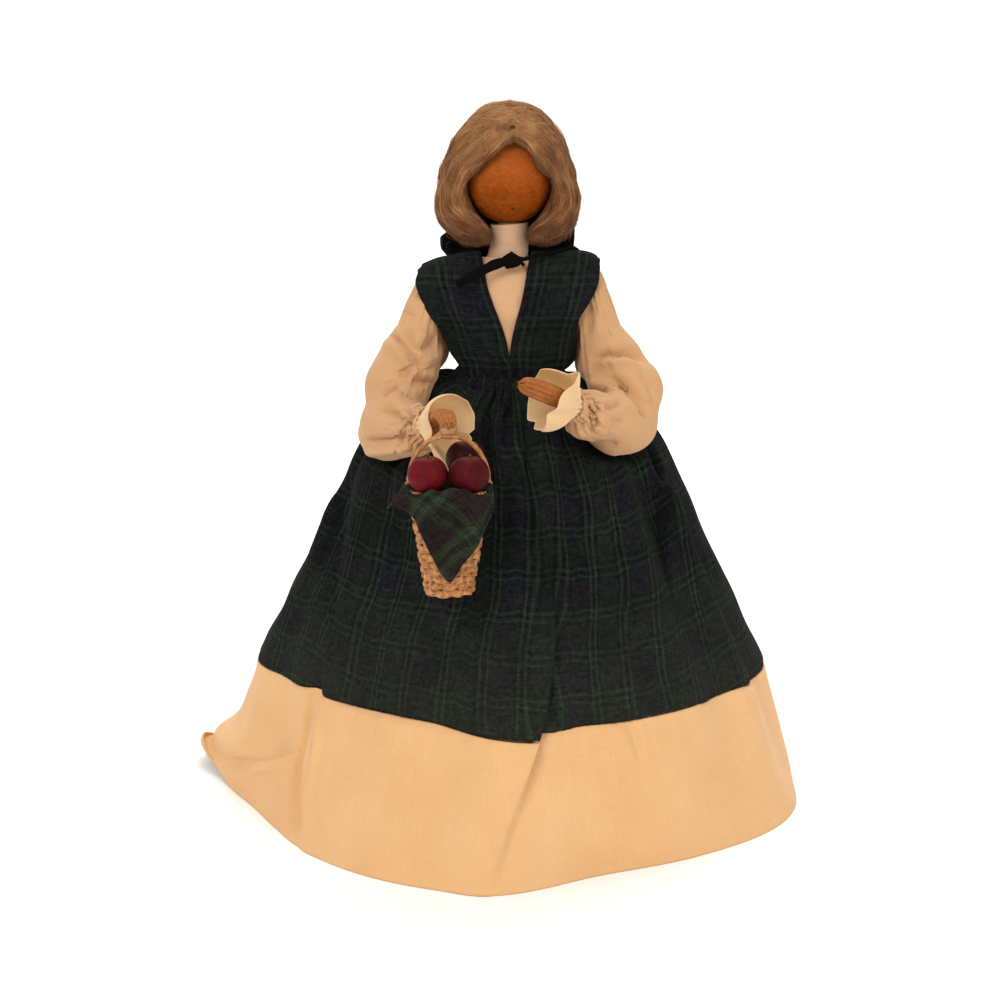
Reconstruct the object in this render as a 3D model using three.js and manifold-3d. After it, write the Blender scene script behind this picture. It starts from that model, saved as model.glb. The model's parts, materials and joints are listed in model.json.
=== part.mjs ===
// A faceless folk doll: a stained wooden ball head with a combed wool wig, a
// tartan bodice and gathered tartan skirt with a wide muslin hem, wire arms in
// muslin sleeves, carved hands and a straw basket with apples.
// Millimetres, +Z up. Origin: centre of the underside of the wooden base.
// The front of the doll faces -Y. The doll's right arm is on the -X side.

import * as THREE from 'three';
import { mergeVertices } from 'three/addons/utils/BufferGeometryUtils.js';
import Module from 'manifold-3d';

const wasm = await Module();
wasm.setup();

// ---------------------------------------------------------------- dimensions
const GAP = 0.3;              // room between neighbours
const BASE_R = 62;            // wooden base
const BASE_T = 8;
const POST_R = 5;             // dowel through body and neck
const POST_FOOT = 3.3;
const POST_TOP = 266;
const SEAM_Z = 57;            // skirt / hem band seam
const HEM_Z = 0.2;            // lower edge of the hem band
const CLOTH_T = 1.2;          // skirt and hem shell
const PUFF_Z = 166;           // widest part of the waist gathers
const WAIST_Z = 187;
const FORM_IN = 3.6;          // skirt form, inside the skirt surface
const SHOULDER_TOP = 241;
const HEAD_R = 19;            // 38 mm wooden ball
const HEAD_Z = 273;
const HAIR_BOTTOM = 243.4;
const WIRE_R = 1.2;
const SHOULDER_R = [-32.5, 0, 229];   // doll's right arm
const ELBOW_R = [-51.5, -27, 171.5];
const WRIST_R = [-33, -64, 178];
const ELBOW_BALL_R = 14;
const SHOULDER_L = [33.5, 0, 229.5];      // doll's left arm
const ELBOW_L = [50, -27, 174.5];
const WRIST_L = [25, -62, 186];
const ELBOW_BALL_L = 15;
const SLEEVE_TOP_R = 7;
const WRIST_SLEEVE_R = 6;
const BASKET_X = -24.2;
const BASKET_Y = -89;
const BASKET_BOTTOM = 115.4;
const BASKET_RIM_Z = 157.5;
const BASKET_R_TOP = 16.4;
const BASKET_R_BOTTOM = 9.6;
const BASKET_WALL = 1.5;
const HANDLE_TOP = 178;       // centre of the reed at the top of the arch
const HANDLE_R = 1.05;
const APPLE_R = 8;

// Plan outlines (x, y): the hem on the floor, and the seam above it.
const HEM_OUTLINE = [
  [-8, -124], [36, -104], [79, -83], [111, -57], [126, -30], [129.5, -6], [127, 25],
  [112, 62], [80, 94], [36, 112], [-15, 117], [-64, 110], [-107, 90], [-134, 60],
  [-142, 34], [-131, 5], [-115, -25], [-101, -52], [-87, -77], [-70, -95], [-52, -108], [-30, -118],
];
const SEAM_OUTLINE = [
  [2, -102.5], [30, -97], [56, -84], [84, -61], [104, -30], [114, 0], [113, 30],
  [100, 62], [75, 87], [38, 102], [0, 106], [-40, 103], [-78, 88], [-103, 62],
  [-114, 30], [-112, 0], [-98, -27], [-82, -47], [-61, -68], [-38, -84], [-18, -96],
];

// ------------------------------------------------------------------- helpers
const V = (x, y, z) => new THREE.Vector3(x, y, z);
const vec = (a) => V(a[0], a[1], a[2]);
const clamp = (x, a, b) => Math.min(b, Math.max(a, x));
const smooth = (t) => t * t * (3 - 2 * t);

function table(rows, x) {
  if (x <= rows[0][0]) return rows[0][1];
  for (let i = 1; i < rows.length; i++) {
    if (x <= rows[i][0]) {
      const [x0, y0] = rows[i - 1];
      const [x1, y1] = rows[i];
      return y0 + ((y1 - y0) * (x - x0)) / (x1 - x0);
    }
  }
  return rows[rows.length - 1][1];
}

// Radius of a closed plan outline by angle, the angle counted from the front
// (-Y) towards +X.
function outline(points) {
  const rows = points.map(([x, y]) => [Math.atan2(x, -y), Math.hypot(x, y)]).sort((a, b) => a[0] - b[0]);
  const n = rows.length;
  const at = (i) => {
    const k = ((i % n) + n) % n;
    return [rows[k][0] + 2 * Math.PI * Math.floor(i / n), rows[k][1]];
  };
  return (angle) => {
    let a = angle;
    while (a < rows[0][0]) a += 2 * Math.PI;
    while (a >= rows[0][0] + 2 * Math.PI) a -= 2 * Math.PI;
    let i = 0;
    while (i < n - 1 && at(i + 1)[0] <= a) i++;
    const [a0, r0] = at(i - 1), [a1, r1] = at(i), [a2, r2] = at(i + 1), [a3, r3] = at(i + 2);
    const t = (a - a1) / (a2 - a1);
    const m1 = ((r2 - r0) / (a2 - a0)) * (a2 - a1);
    const m2 = ((r3 - r1) / (a3 - a1)) * (a2 - a1);
    const t2 = t * t, t3 = t2 * t;
    return (2 * t3 - 3 * t2 + 1) * r1 + (t3 - 2 * t2 + t) * m1 + (-2 * t3 + 3 * t2) * r2 + (t3 - t2) * m2;
  };
}

// Keeps positions only, welds shared vertices, drops collapsed triangles and
// turns the faces outwards.
function weld(geometry) {
  const bare = geometry.clone();
  for (const name of Object.keys(bare.attributes)) if (name !== 'position') bare.deleteAttribute(name);
  const g = mergeVertices(bare, 1e-4);
  const index = g.index.array;
  const p = g.attributes.position;
  const kept = [];
  let volume = 0;
  const a = V(0, 0, 0), b = V(0, 0, 0), c = V(0, 0, 0);
  for (let i = 0; i < index.length; i += 3) {
    const [i0, i1, i2] = [index[i], index[i + 1], index[i + 2]];
    if (i0 === i1 || i1 === i2 || i0 === i2) continue;
    kept.push(i0, i1, i2);
    a.fromBufferAttribute(p, i0); b.fromBufferAttribute(p, i1); c.fromBufferAttribute(p, i2);
    volume += a.dot(b.cross(c));
  }
  if (volume < 0) for (let i = 0; i < kept.length; i += 3) [kept[i + 1], kept[i + 2]] = [kept[i + 2], kept[i + 1]];
  g.setIndex(kept);
  return g;
}

const solid = (g) => new wasm.Manifold(new wasm.Mesh({
  numProp: 3,
  vertProperties: new Float32Array(g.attributes.position.array),
  triVerts: new Uint32Array(g.index.array),
}));

function geometryOf(manifold) {
  const m = manifold.getMesh();
  const g = new THREE.BufferGeometry();
  g.setAttribute('position', new THREE.BufferAttribute(new Float32Array(m.vertProperties), 3));
  g.setIndex(new THREE.BufferAttribute(new Uint32Array(m.triVerts), 1));
  return g;
}

const cut = (body, ...tools) => geometryOf(tools.reduce((s, t) => s.subtract(solid(t)), solid(body)));
const join = (body, ...others) => geometryOf(others.reduce((s, o) => s.add(solid(o)), solid(body)));
const keep = (body, tool) => geometryOf(solid(body).intersect(solid(tool)));

function warp(g, move) {
  const p = g.attributes.position;
  const v = V(0, 0, 0);
  for (let i = 0; i < p.count; i++) {
    v.fromBufferAttribute(p, i);
    move(v);
    p.setXYZ(i, v.x, v.y, v.z);
  }
  return g;
}

// A turned solid about +Z from (radius, height) points.
function turned(profile, segments = 32) {
  const g = new THREE.LatheGeometry(profile.map(([r, z]) => new THREE.Vector2(r, z)), segments);
  g.rotateX(Math.PI / 2);
  return weld(g);
}

const ball = (r, x, y, z, w = 20, h = 14) => {
  const g = new THREE.SphereGeometry(r, w, h);
  g.rotateX(Math.PI / 2);
  g.translate(x, y, z);
  return weld(g);
};

const block = (x0, y0, z0, x1, y1, z1) => {
  const g = new THREE.BoxGeometry(x1 - x0, y1 - y0, z1 - z0);
  g.translate((x0 + x1) / 2, (y0 + y1) / 2, (z0 + z1) / 2);
  return weld(g);
};

// A cylinder bent along a path, with elliptical section half-axes a(t), b(t).
// "side" is roughly the direction of the a axis.
function sweep(path, side, a, b, around = 14, along = 8) {
  const g = new THREE.CylinderGeometry(1, 1, 1, around, along);
  warp(g, (v) => {
    const t = clamp(v.y + 0.5, 0, 1);
    const T = path.getTangent(t);
    const N = side.clone().addScaledVector(T, -side.dot(T)).normalize();
    const B = V(0, 0, 0).crossVectors(T, N);
    const at = path.getPoint(t);
    const x = v.x, z = v.z;
    v.copy(at).addScaledVector(N, x * a(t)).addScaledVector(B, z * b(t));
  });
  return weld(g);
}

const line = (a, b) => new THREE.LineCurve3(a, b);
const curve = (points) => new THREE.CatmullRomCurve3(points.map(vec), false, 'centripetal');

// A round tube along a curve.
function tube(path, r, steps, sides = 8) {
  const shape = new THREE.Shape();
  for (let i = 0; i < sides; i++) {
    const a = (2 * Math.PI * i) / sides;
    if (i === 0) shape.moveTo(r * Math.cos(a), r * Math.sin(a));
    else shape.lineTo(r * Math.cos(a), r * Math.sin(a));
  }
  shape.closePath();
  return weld(new THREE.ExtrudeGeometry(shape, { steps, bevelEnabled: false, extrudePath: path }));
}

// A thin panel: a box whose faces are laid over surface(u, v), the thickness
// going inwards (towards the axis of the doll).
function panel(surface, nu, nv, t) {
  const g = new THREE.BoxGeometry(1, 1, 1, nu, nv, 1);
  warp(g, (v) => {
    const u = clamp(v.x + 0.5, 0, 1), w = clamp(v.y + 0.5, 0, 1), layer = 0.5 - v.z;
    const e = 1e-3;
    const u0 = clamp(u - e, 0, 1), u1 = clamp(u + e, 0, 1), w0 = clamp(w - e, 0, 1), w1 = clamp(w + e, 0, 1);
    const du = surface(u1, w).sub(surface(u0, w));
    const dv = surface(u, w1).sub(surface(u, w0));
    const n = V(0, 0, 0).crossVectors(du, dv).normalize();
    const P = surface(u, w);
    if (n.x * P.x + n.y * P.y + n.z * 12 < 0) n.negate();
    v.copy(P).addScaledVector(n, -layer * t);
  });
  return weld(g);
}

const turn = (g, quaternion, origin) => {
  const c = g.clone();
  c.translate(-origin.x, -origin.y, -origin.z);
  c.applyQuaternion(quaternion);
  c.translate(origin.x, origin.y, origin.z);
  return c;
};

const along = (g, direction, origin) => {
  const c = g.clone();
  c.applyQuaternion(new THREE.Quaternion().setFromUnitVectors(V(0, 0, 1), direction));
  c.translate(origin.x, origin.y, origin.z);
  return c;
};

// ------------------------------------------------------------ the assembly
const doll = new THREE.Group();
const finish = {
  base_wood: [0x9a6b3d, 0.7], dowel: [0xb98d5a, 0.7], fibre: [0xe4d6bd, 1.0], tartan: [0x141d1f, 0.95],
  muslin: [0xe8c393, 0.9], wool: [0x8d6a48, 0.9], head_wood: [0xa5541a, 0.45], hand_wood: [0xb4672c, 0.55],
  straw: [0xc99a5a, 0.8], apple: [0x5c0f16, 0.25], wire: [0x6e6e6e, 0.4], cord: [0x120f10, 0.8],
  lining: [0x5e0d14, 0.9], thread: [0xd9c39a, 0.9], pin: [0x2a1a12, 0.5], stem: [0x3a2414, 0.8],
};
function add(name, geometry, slot) {
  const [color, roughness] = finish[slot];
  geometry.computeVertexNormals();
  const mesh = new THREE.Mesh(geometry, new THREE.MeshStandardMaterial({
    color, roughness, metalness: slot === 'wire' ? 0.9 : 0,
  }));
  mesh.name = name;
  doll.add(mesh);
}

// Arm directions.
const arms = [
  { side: 'right', sign: -1, S: vec(SHOULDER_R), E: vec(ELBOW_R), W: vec(WRIST_R), ball: ELBOW_BALL_R, flex: [-3, 31] },
  { side: 'left', sign: 1, S: vec(SHOULDER_L), E: vec(ELBOW_L), W: vec(WRIST_L), ball: ELBOW_BALL_L, flex: [-13, 31] },
];
for (const arm of arms) {
  arm.U = arm.S.clone().sub(arm.E);
  arm.upper = arm.U.length();
  arm.U.normalize();
  arm.F = arm.W.clone().sub(arm.E);
  arm.fore = arm.F.length();
  arm.F.normalize();
  arm.axis = V(0, 0, 0).crossVectors(arm.F, arm.U).normalize();
}

// ------------------------------------------------------- skirt surface
const hemR = outline(HEM_OUTLINE);
const seamR = outline(SEAM_OUTLINE);
const puffR = (q) => table([[0, 55], [30, 54], [55, 53], [75, 57], [92, 61], [112, 62], [150, 58], [180, 56]], Math.abs(q) * 180 / Math.PI);
const waistR = (q) => 1 / Math.hypot(Math.sin(q) / 27, Math.cos(q) / 21);

// Balls that the gathers make room for: the sleeves and the basket.
const rooms = [];
for (const arm of arms) {
  rooms.push([arm.E, arm.ball + 3.4]);
  for (const f of [0.3, 0.6]) rooms.push([arm.E.clone().addScaledVector(arm.F, f * arm.fore), arm.ball * (1 - 0.62 * f) + 3.4]);
  for (const f of [0.2, 0.4]) rooms.push([arm.E.clone().addScaledVector(arm.U, f * arm.upper), arm.ball - 1.5 + 3.2 - 3 * f]);
}

function skirtR(q, z) {
  let r;
  if (z <= SEAM_Z) {
    const t = z / SEAM_Z;
    r = hemR(q) + (seamR(q) - hemR(q)) * t;
  } else if (z <= PUFF_Z) {
    const t = (z - SEAM_Z) / (PUFF_Z - SEAM_Z);
    r = seamR(q) + (puffR(q) - seamR(q)) * t;
    const front = clamp(1 - Math.abs(q + 0.28) / 0.75, 0, 1);
    r -= 6.5 * smooth(front) * Math.sin(Math.PI * t);
  } else {
    const t = clamp((z - PUFF_Z) / (WAIST_Z - PUFF_Z), 0, 1);
    r = puffR(q) + (waistR(q) - puffR(q)) * Math.pow(t, 1.5);
  }
  if (z > 120) {
    const d = V(Math.sin(q), -Math.cos(q), 0);
    for (const [c, room] of rooms) {
      const e = V(c.x, c.y, c.z - z);
      const m = d.dot(e);
      const k = room * room - (e.lengthSq() - m * m);
      if (k > 0 && m > 0) r = Math.min(r, m - Math.sqrt(k));
    }
  }
  return Math.max(r, waistR(q));
}

// A shell or solid of revolution bent to the skirt surface. The profile holds
// (inset, height) pairs: the radius is the surface radius less the inset.
function draped(profile, segments) {
  const far = 1000;
  const g = new THREE.LatheGeometry(profile.map(([inset, z]) => new THREE.Vector2(inset === null ? 0 : far - inset, z)), segments);
  g.rotateX(Math.PI / 2);
  warp(g, (v) => {
    const r = Math.hypot(v.x, v.y);
    if (r < 1) return;
    const q = Math.atan2(v.x, -v.y);
    const R = skirtR(q, v.z) - (far - r);
    v.set(R * Math.sin(q), -R * Math.cos(q), v.z);
  });
  return weld(g);
}
const shell = (heights, t, segments) => draped([
  ...heights.map((z) => [0, z]),
  ...heights.slice().reverse().map((z) => [t, z]),
  [0, heights[0]],
], segments);

// ------------------------------------------------------------- figure
const round = (r, z0, z1, n = 20) => turned([[0, z0], [r, z0], [r, z1], [0, z1]], n);
const rod = (a, b, r, n = 8) => sweep(line(a, b), Math.abs(b.z - a.z) > 0.9 * a.distanceTo(b) ? V(1, 0, 0) : V(0, 0, 1), () => r, () => r, n, 1);

add('base_disc', cut(turned([[0, 0], [BASE_R - 1, 0], [BASE_R, 1], [BASE_R, BASE_T - 1], [BASE_R - 1, BASE_T], [0, BASE_T]], 32),
  round(POST_R + GAP, POST_FOOT - GAP, BASE_T + 2)), 'base_wood');

const wireLeft = V(-22.6, 0, 229.5), wireRight = V(22.6, 0, 229.5);
const wireHole = rod(wireLeft.clone().setX(-40), wireRight.clone().setX(40), WIRE_R + GAP, 10);
add('body_post', cut(round(POST_R, POST_FOOT, POST_TOP), wireHole), 'dowel');
add('shoulder_wire', rod(wireLeft, wireRight, WIRE_R), 'wire');

add('skirt_form', cut(draped([[null, BASE_T + GAP], [FORM_IN, BASE_T + GAP], [FORM_IN, SEAM_Z], [FORM_IN, 100],
  [FORM_IN + 1, 136], [FORM_IN + 3, 150], [FORM_IN + 4, 158], [FORM_IN + 4, 166], [FORM_IN + 4, 174], [FORM_IN + 4, 183], [null, 183]], 32),
round(POST_R + GAP, -10, 200)), 'fibre');
add('skirt', shell([SEAM_Z + 0.4, 100, 136, 150, 158, 166, 173, 180, WAIST_Z], CLOTH_T, 40), 'tartan');
add('hem_band', shell([HEM_Z, 28, SEAM_Z], CLOTH_T, 44), 'muslin');

// Front and back surface of the bodice: an oval of half-depth depth0 and
// half-width width0 at each height, opening out at the shoulders.
const depth0 = [[186, 21], [200, 22], [215, 21], [225, 18.5], [232, 15], [237, 11], [240, 6.5], [SHOULDER_TOP, 2]];
const width0 = [[186, 26.5], [204, 26.5], [214, 28.5], [229, 42], [241, 62]];
const shoulderZ = (x) => table([[0, SHOULDER_TOP], [26, SHOULDER_TOP], [32, 239.6], [38.5, 236.6]], Math.abs(x));
const vEdge = (z) => table([[186, 0.2], [199, 0.2], [230, 8.2], [236, 9.3], [241, 10.6]], z);
const armEdge = (z) => table([[186, 26.45], [203, 26.4], [212, 24.6], [222, 23.8], [230, 24], [234.5, 37], [241, 38.5]], z);
const depth = (x, z) => table(depth0, z) * Math.sqrt(Math.max(1 - Math.pow(x / table(width0, z), 2), 0));

function bodicePoint(x0, x1, u, w, sx, sy, bottom) {
  const z = bottom + (SHOULDER_TOP - bottom) * w;
  const X = table(width0, z);
  const a0 = Math.asin(clamp(x0(z) / X, -1, 1)), a1 = Math.asin(clamp(x1(z) / X, -1, 1));
  const a = a0 + (a1 - a0) * u;
  const x = X * Math.sin(a);
  const drop = (SHOULDER_TOP - shoulderZ(x)) * smooth(clamp((w - 0.6) / 0.4, 0, 1));
  return V(sx * x, sy * Math.max(table(depth0, z) * Math.cos(a), 1.2), z - drop);
}
const frontPanel = (sx) => panel((u, w) => bodicePoint(vEdge, armEdge, u, w, sx, -1, 188), 6, 10, 1.0);
add('bodice_front_right', frontPanel(-1), 'tartan');
add('bodice_front_left', frontPanel(1), 'tartan');
add('bodice_back', panel((u, w) => {
  const p = bodicePoint((z) => -armEdge(z), armEdge, u, w, 1, 1, 188);
  if (Math.abs(p.x) < 12 && p.z > 236) p.y = Math.max(p.y, 10.9);
  return p;
}, 10, 10, 1.0), 'tartan');
add('blouse_front', panel((u, w) => {
  const zz = 196 + (234 - 196) * w;
  const x = (2 * u - 1) * (vEdge(zz) + 2.2);
  return V(x, -(depth(x, zz) - 2.6), zz);
}, 4, 5, 0.8), 'muslin');

const coreA = [[188, 22], [205, 21], [222, 20.5], [231, 19], [235.5, 12]];
const coreB = [[188, 16.5], [205, 17], [218, 15.5], [226, 12.5], [231, 9.5], [235.5, 6.6]];
add('torso_core', cut(sweep(line(V(0, 0, 187.6), V(0, 0, 235.6)), V(1, 0, 0),
  (t) => table(coreA, 187.6 + 48 * t), (t) => table(coreB, 187.6 + 48 * t), 18, 6),
round(POST_R + GAP, 150, 260), wireHole), 'fibre');

add('neck_wrap', turned([[POST_R + GAP, 236.2], [7.6, 236.2], [9.2, 238], [8.5, 242], [8, 248], [8, 253.4], [POST_R + GAP, 253.4], [POST_R + GAP, 236.2]], 24), 'muslin');

// Cord tied at the throat.
add('cord_knot', weld(new THREE.SphereGeometry(1, 12, 8).scale(4.4, 2.2, 2.9).translate(0.4, -13.8, 239.7)), 'cord');
add('neck_cord', tube(curve([[5.3, -13.3, 240.6], [12, -11.6, 241.9], [20, -7, 242.3], [27, -2.5, 242.2], [30.5, 2, 240.9]]), 0.75, 12), 'cord');
add('cord_tail', tube(curve([[-4.6, -14.4, 237.9], [-9.4, -16.3, 233.9], [-15, -18.6, 229.4], [-20.5, -19.4, 225.6]]), 1.1, 8), 'cord');

// Hood pushed back behind the hair.
const arc = (r, y0, z0, lift, q0) => new THREE.CatmullRomCurve3(Array.from({ length: 13 }, (_, i) => {
  const q = q0 + ((2 * Math.PI - 2 * q0) * i) / 12;
  return V(r * Math.sin(q), y0 - r * Math.cos(q), z0 + lift * Math.pow(Math.sin((Math.PI * i) / 12), 1.5));
}), false, 'centripetal');
const hoodRise = (t) => 2.4 + 13.6 * Math.pow(Math.sin(Math.PI * t), 2);
const hoodPath = new THREE.CatmullRomCurve3(Array.from({ length: 17 }, (_, i) => {
  const t = i / 16, q = 1.75 + (2 * Math.PI - 3.5) * t;
  return V(35 * Math.sin(q), 1 - 35 * Math.cos(q), 244.2 + 3.4 * Math.sin(Math.PI * t) + 2.4 - hoodRise(t));
}), false, 'centripetal');
add('hood', sweep(hoodPath, V(0, 0, 1), hoodRise, (t) => 2 + 3.4 * Math.sin(Math.PI * t), 12, 18), 'tartan');
add('hood_lining', sweep(arc(35, 1, 248.4, 3.9, 1.85), V(0, 0, 1), () => 0.8, (t) => 1 + 1.2 * Math.sin(Math.PI * t), 8, 14), 'lining');

// ------------------------------------------------------------- head
add('head_ball', cut(ball(HEAD_R, 0, 0, HEAD_Z, 22, 16), round(POST_R + GAP, 230, POST_TOP + 1)), 'head_wood');

const hairA = [[243, 24.6], [250.7, 27.3], [256.6, 29.6], [263.4, 30.7], [272.7, 29.8], [282, 26.6], [290.6, 23.2], [299, 17.2], [303.7, 11], [305, 5]];
const hairF = [[243, 12], [250, 15.5], [256, 19.5], [262, 22], [272, 23.6], [282, 23.6], [290, 21.5], [299, 15.5], [303.7, 9.5], [305, 4]];
const hairB = [[243, 21], [250, 24], [260, 26.3], [272, 27], [282, 25.4], [290, 22.4], [299, 16.5], [303.7, 10.5], [305, 4.5]];
const hairOuter = (() => {
  const g = new THREE.CylinderGeometry(1, 1, 1, 22, 10);
  warp(g, (v) => {
    const t = clamp(v.y + 0.5, 0, 1);
    const z = HAIR_BOTTOM + (305 - HAIR_BOTTOM) * (1 - Math.pow(1 - t, 1.35));
    v.set(-0.4 + v.x * table(hairA, z), 1 + (v.z < 0 ? v.z * table(hairF, z) : v.z * table(hairB, z)), z);
  });
  return weld(g);
})();
const opening = (() => {
  const half = [[0, 288.5], [8.5, 284.6], [13, 280], [16, 274.7], [17.4, 270], [18.2, 262], [17, 256], [10.5, 253], [10.5, 238]];
  const shape = new THREE.Shape();
  half.forEach(([x, z], i) => (i ? shape.lineTo(x, z) : shape.moveTo(x, z)));
  half.slice(1).reverse().forEach(([x, z]) => shape.lineTo(-x, z));
  shape.closePath();
  const g = new THREE.ExtrudeGeometry(shape, { depth: 40, bevelEnabled: false });
  g.rotateX(Math.PI / 2);
  g.translate(0, -3, 0);
  return weld(g);
})();
const pinAt = V(1.2, -17.8, 294.8);
const wig = cut(hairOuter, ball(HEAD_R + 0.8, 0, 0, HEAD_Z, 18, 12), opening, round(12, 230, 262, 16), ball(1.5, pinAt.x, pinAt.y, pinAt.z, 10, 8));
add('hair_right', keep(wig, block(-60, -60, 200, -0.15, 60, 320)), 'wool');
add('hair_left', keep(wig, block(0.15, -60, 200, 60, 60, 320)), 'wool');
add('hair_pin', ball(1.1, pinAt.x, pinAt.y, pinAt.z, 10, 8), 'pin');

// ------------------------------------------------------------- arms
for (const arm of arms) {
  const { side, S, E, W, U, F, upper, fore, axis } = arm;
  const r = arm.ball;

  // Lower sleeve: a puff centred on the elbow, gathered to the wrist.
  const wristEnd = fore - 2.6;
  const lowerProfile = (grow) => {
    const R = r + grow;
    const tan = (r - WRIST_SLEEVE_R) / wristEnd;
    const s0 = R * Math.sin(Math.atan(tan));
    const r0 = Math.sqrt(R * R - s0 * s0);
    const total = R + wristEnd + grow;
    const at = (t) => {
      const s = -R + total * t;
      if (s <= s0) return Math.sqrt(Math.max(R * R - s * s, 0));
      const k = (s - s0) / (wristEnd - s0);
      return r0 + (WRIST_SLEEVE_R + grow - r0) * Math.min(k, 1.2);
    };
    return sweep(line(E.clone().addScaledVector(F, -R), E.clone().addScaledVector(F, wristEnd + grow)), axis, at, at, 14, 11);
  };
  const bore = (a, b) => rod(a, b, WIRE_R + GAP, 8);
  const lower = lowerProfile(0);
  const wireFrom = E.clone().addScaledVector(F, 2), wireTo = E.clone().addScaledVector(F, wristEnd - 0.4);
  add(`${side}_lower_sleeve`, cut(lower, bore(E.clone().addScaledVector(F, 1.6), E.clone().addScaledVector(F, fore + 20))), 'muslin');
  add(`${side}_forearm_wire`, rod(wireFrom, wireTo, WIRE_R), 'wire');

  // Upper sleeve: from the shoulder to the puff, hollowed where the puff turns.
  const top = SLEEVE_TOP_R;
  const length = upper + top - 5;
  const upperR = (t) => {
    const s = length * t - top;
    if (s < 0) return Math.sqrt(Math.max(top * top - s * s, 0));
    return table([[0, top], [0.12, 7.1], [0.28, 8.4], [0.45, 10.6], [0.65, r - 1.6], [1, r - 1.2]], s / upper);
  };
  const down = U.clone().negate();
  let sleeve = sweep(line(S.clone().addScaledVector(down, -top), S.clone().addScaledVector(down, length - top)), axis, upperR, upperR, 14, 8);
  const cone = sweep(line(E, E.clone().addScaledVector(F, fore)), axis, (t) => r + 0.9 + (WRIST_SLEEVE_R - r) * t, (t) => r + 0.9 + (WRIST_SLEEVE_R - r) * t, 12, 1);
  const turns = [ball(r + 0.9, E.x, E.y, E.z, 16, 10)];
  for (let i = 0; i <= 3; i++) {
    const angle = ((arm.flex[0] + ((arm.flex[1] - arm.flex[0]) * i) / 3) * Math.PI) / 180;
    turns.push(turn(cone, new THREE.Quaternion().setFromAxisAngle(axis, angle), E));
  }
  const upperFrom = S.clone().addScaledVector(down, 1), upperTo = S.clone().addScaledVector(down, upper - r - 1.6);
  sleeve = cut(sleeve, ...turns, bore(S.clone().addScaledVector(down, 0.6), S.clone().addScaledVector(down, upper + 10)));
  add(`${side}_upper_sleeve`, sleeve, 'muslin');
  add(`${side}_upper_wire`, rod(upperFrom, upperTo, WIRE_R), 'wire');

  // Gathering thread and flared cuff.
  add(`${side}_wrist_thread`, along(turned([[4.7, -2.2], [6.1, -2.2], [6.1, -0.3], [4.7, -0.3], [4.7, -2.2]], 20), F, W), 'thread');
  add(`${side}_cuff_ruffle`, along(turned([[5.2, 0.2], [6.4, 0.2], [8.4, 2.2], [12.6, 6.6], [12, 7.6], [7.4, 3.4], [5.2, 1.6], [5.2, 0.2]], 24), F, W), 'muslin');
}

// Carved hands: a mitten with a narrow wrist peg.
function hand(arm, points, sideways, width, thick) {
  const start = arm.W.clone().addScaledVector(arm.F, -2.0);
  const second = arm.W.clone().addScaledVector(arm.F, 3.5);
  const path = new THREE.CatmullRomCurve3([start, second, ...points.map(vec)], false, 'centripetal');
  const a = (t) => table([[0, 4.2], [0.25, 4.2], [0.5, width], [0.78, width * 0.95], [0.92, width * 0.7], [1, width * 0.35]], t);
  const b = (t) => table([[0, 3.6], [0.25, 3.4], [0.5, thick], [0.85, thick * 0.9], [1, thick * 0.5]], t);
  return sweep(path, sideways, a, b, 12, 10);
}
add('right_hand', hand(arms[0], [[-28.6, -73.5, 183.2], [-26.4, -80.5, 185.2], [-24.4, -87, 183.2], [-23.8, -90.5, 181.6]], V(0.95, 0.25, 0), 4.0, 2.3), 'hand_wood');
add('left_hand', hand(arms[1], [[19.5, -67.6, 189.6], [12.5, -71.4, 193.2], [7.2, -74, 195.6], [3.6, -76, 197]], V(0.35, -0.3, 0.9), 4.3, 2.6), 'hand_wood');

// ------------------------------------------------------------- basket
const bx = BASKET_X, by = BASKET_Y;
const put = (g) => { const c = g.clone(); c.translate(bx, by, 0); return c; };
const wallR = (z) => BASKET_R_BOTTOM + ((BASKET_R_TOP - BASKET_R_BOTTOM) * (z - BASKET_BOTTOM)) / (BASKET_RIM_Z - BASKET_BOTTOM);
const rimBottom = BASKET_RIM_Z - 2.2;
add('basket_shell', put(turned([[0, BASKET_BOTTOM], [wallR(BASKET_BOTTOM), BASKET_BOTTOM], [wallR(rimBottom - GAP), rimBottom - GAP],
  [wallR(rimBottom - GAP) - BASKET_WALL, rimBottom - GAP], [wallR(BASKET_BOTTOM + 2) - BASKET_WALL, BASKET_BOTTOM + 2], [0, BASKET_BOTTOM + 2]], 28)), 'straw');
add('basket_rim', put(turned([[wallR(rimBottom) - 1.6, rimBottom], [wallR(rimBottom) + 0.6, rimBottom], [wallR(rimBottom) + 0.8, rimBottom + 1.1],
  [wallR(rimBottom) + 0.3, BASKET_RIM_Z], [wallR(rimBottom) - 1.3, BASKET_RIM_Z], [wallR(rimBottom) - 1.6, rimBottom]], 28)), 'straw');
const archHalf = BASKET_R_TOP - 0.6, archFoot = BASKET_RIM_Z + GAP;
const arch = new THREE.CatmullRomCurve3(Array.from({ length: 17 }, (_, i) => {
  const a = (Math.PI * i) / 16;
  return V(-archHalf * Math.sign(Math.cos(a)) * Math.pow(Math.abs(Math.cos(a)), 0.9), 0, archFoot + (HANDLE_TOP - archFoot) * Math.pow(Math.sin(a), 0.9));
}), false, 'centripetal');
add('basket_handle', put(tube(arch, HANDLE_R, 18)), 'straw');

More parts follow.
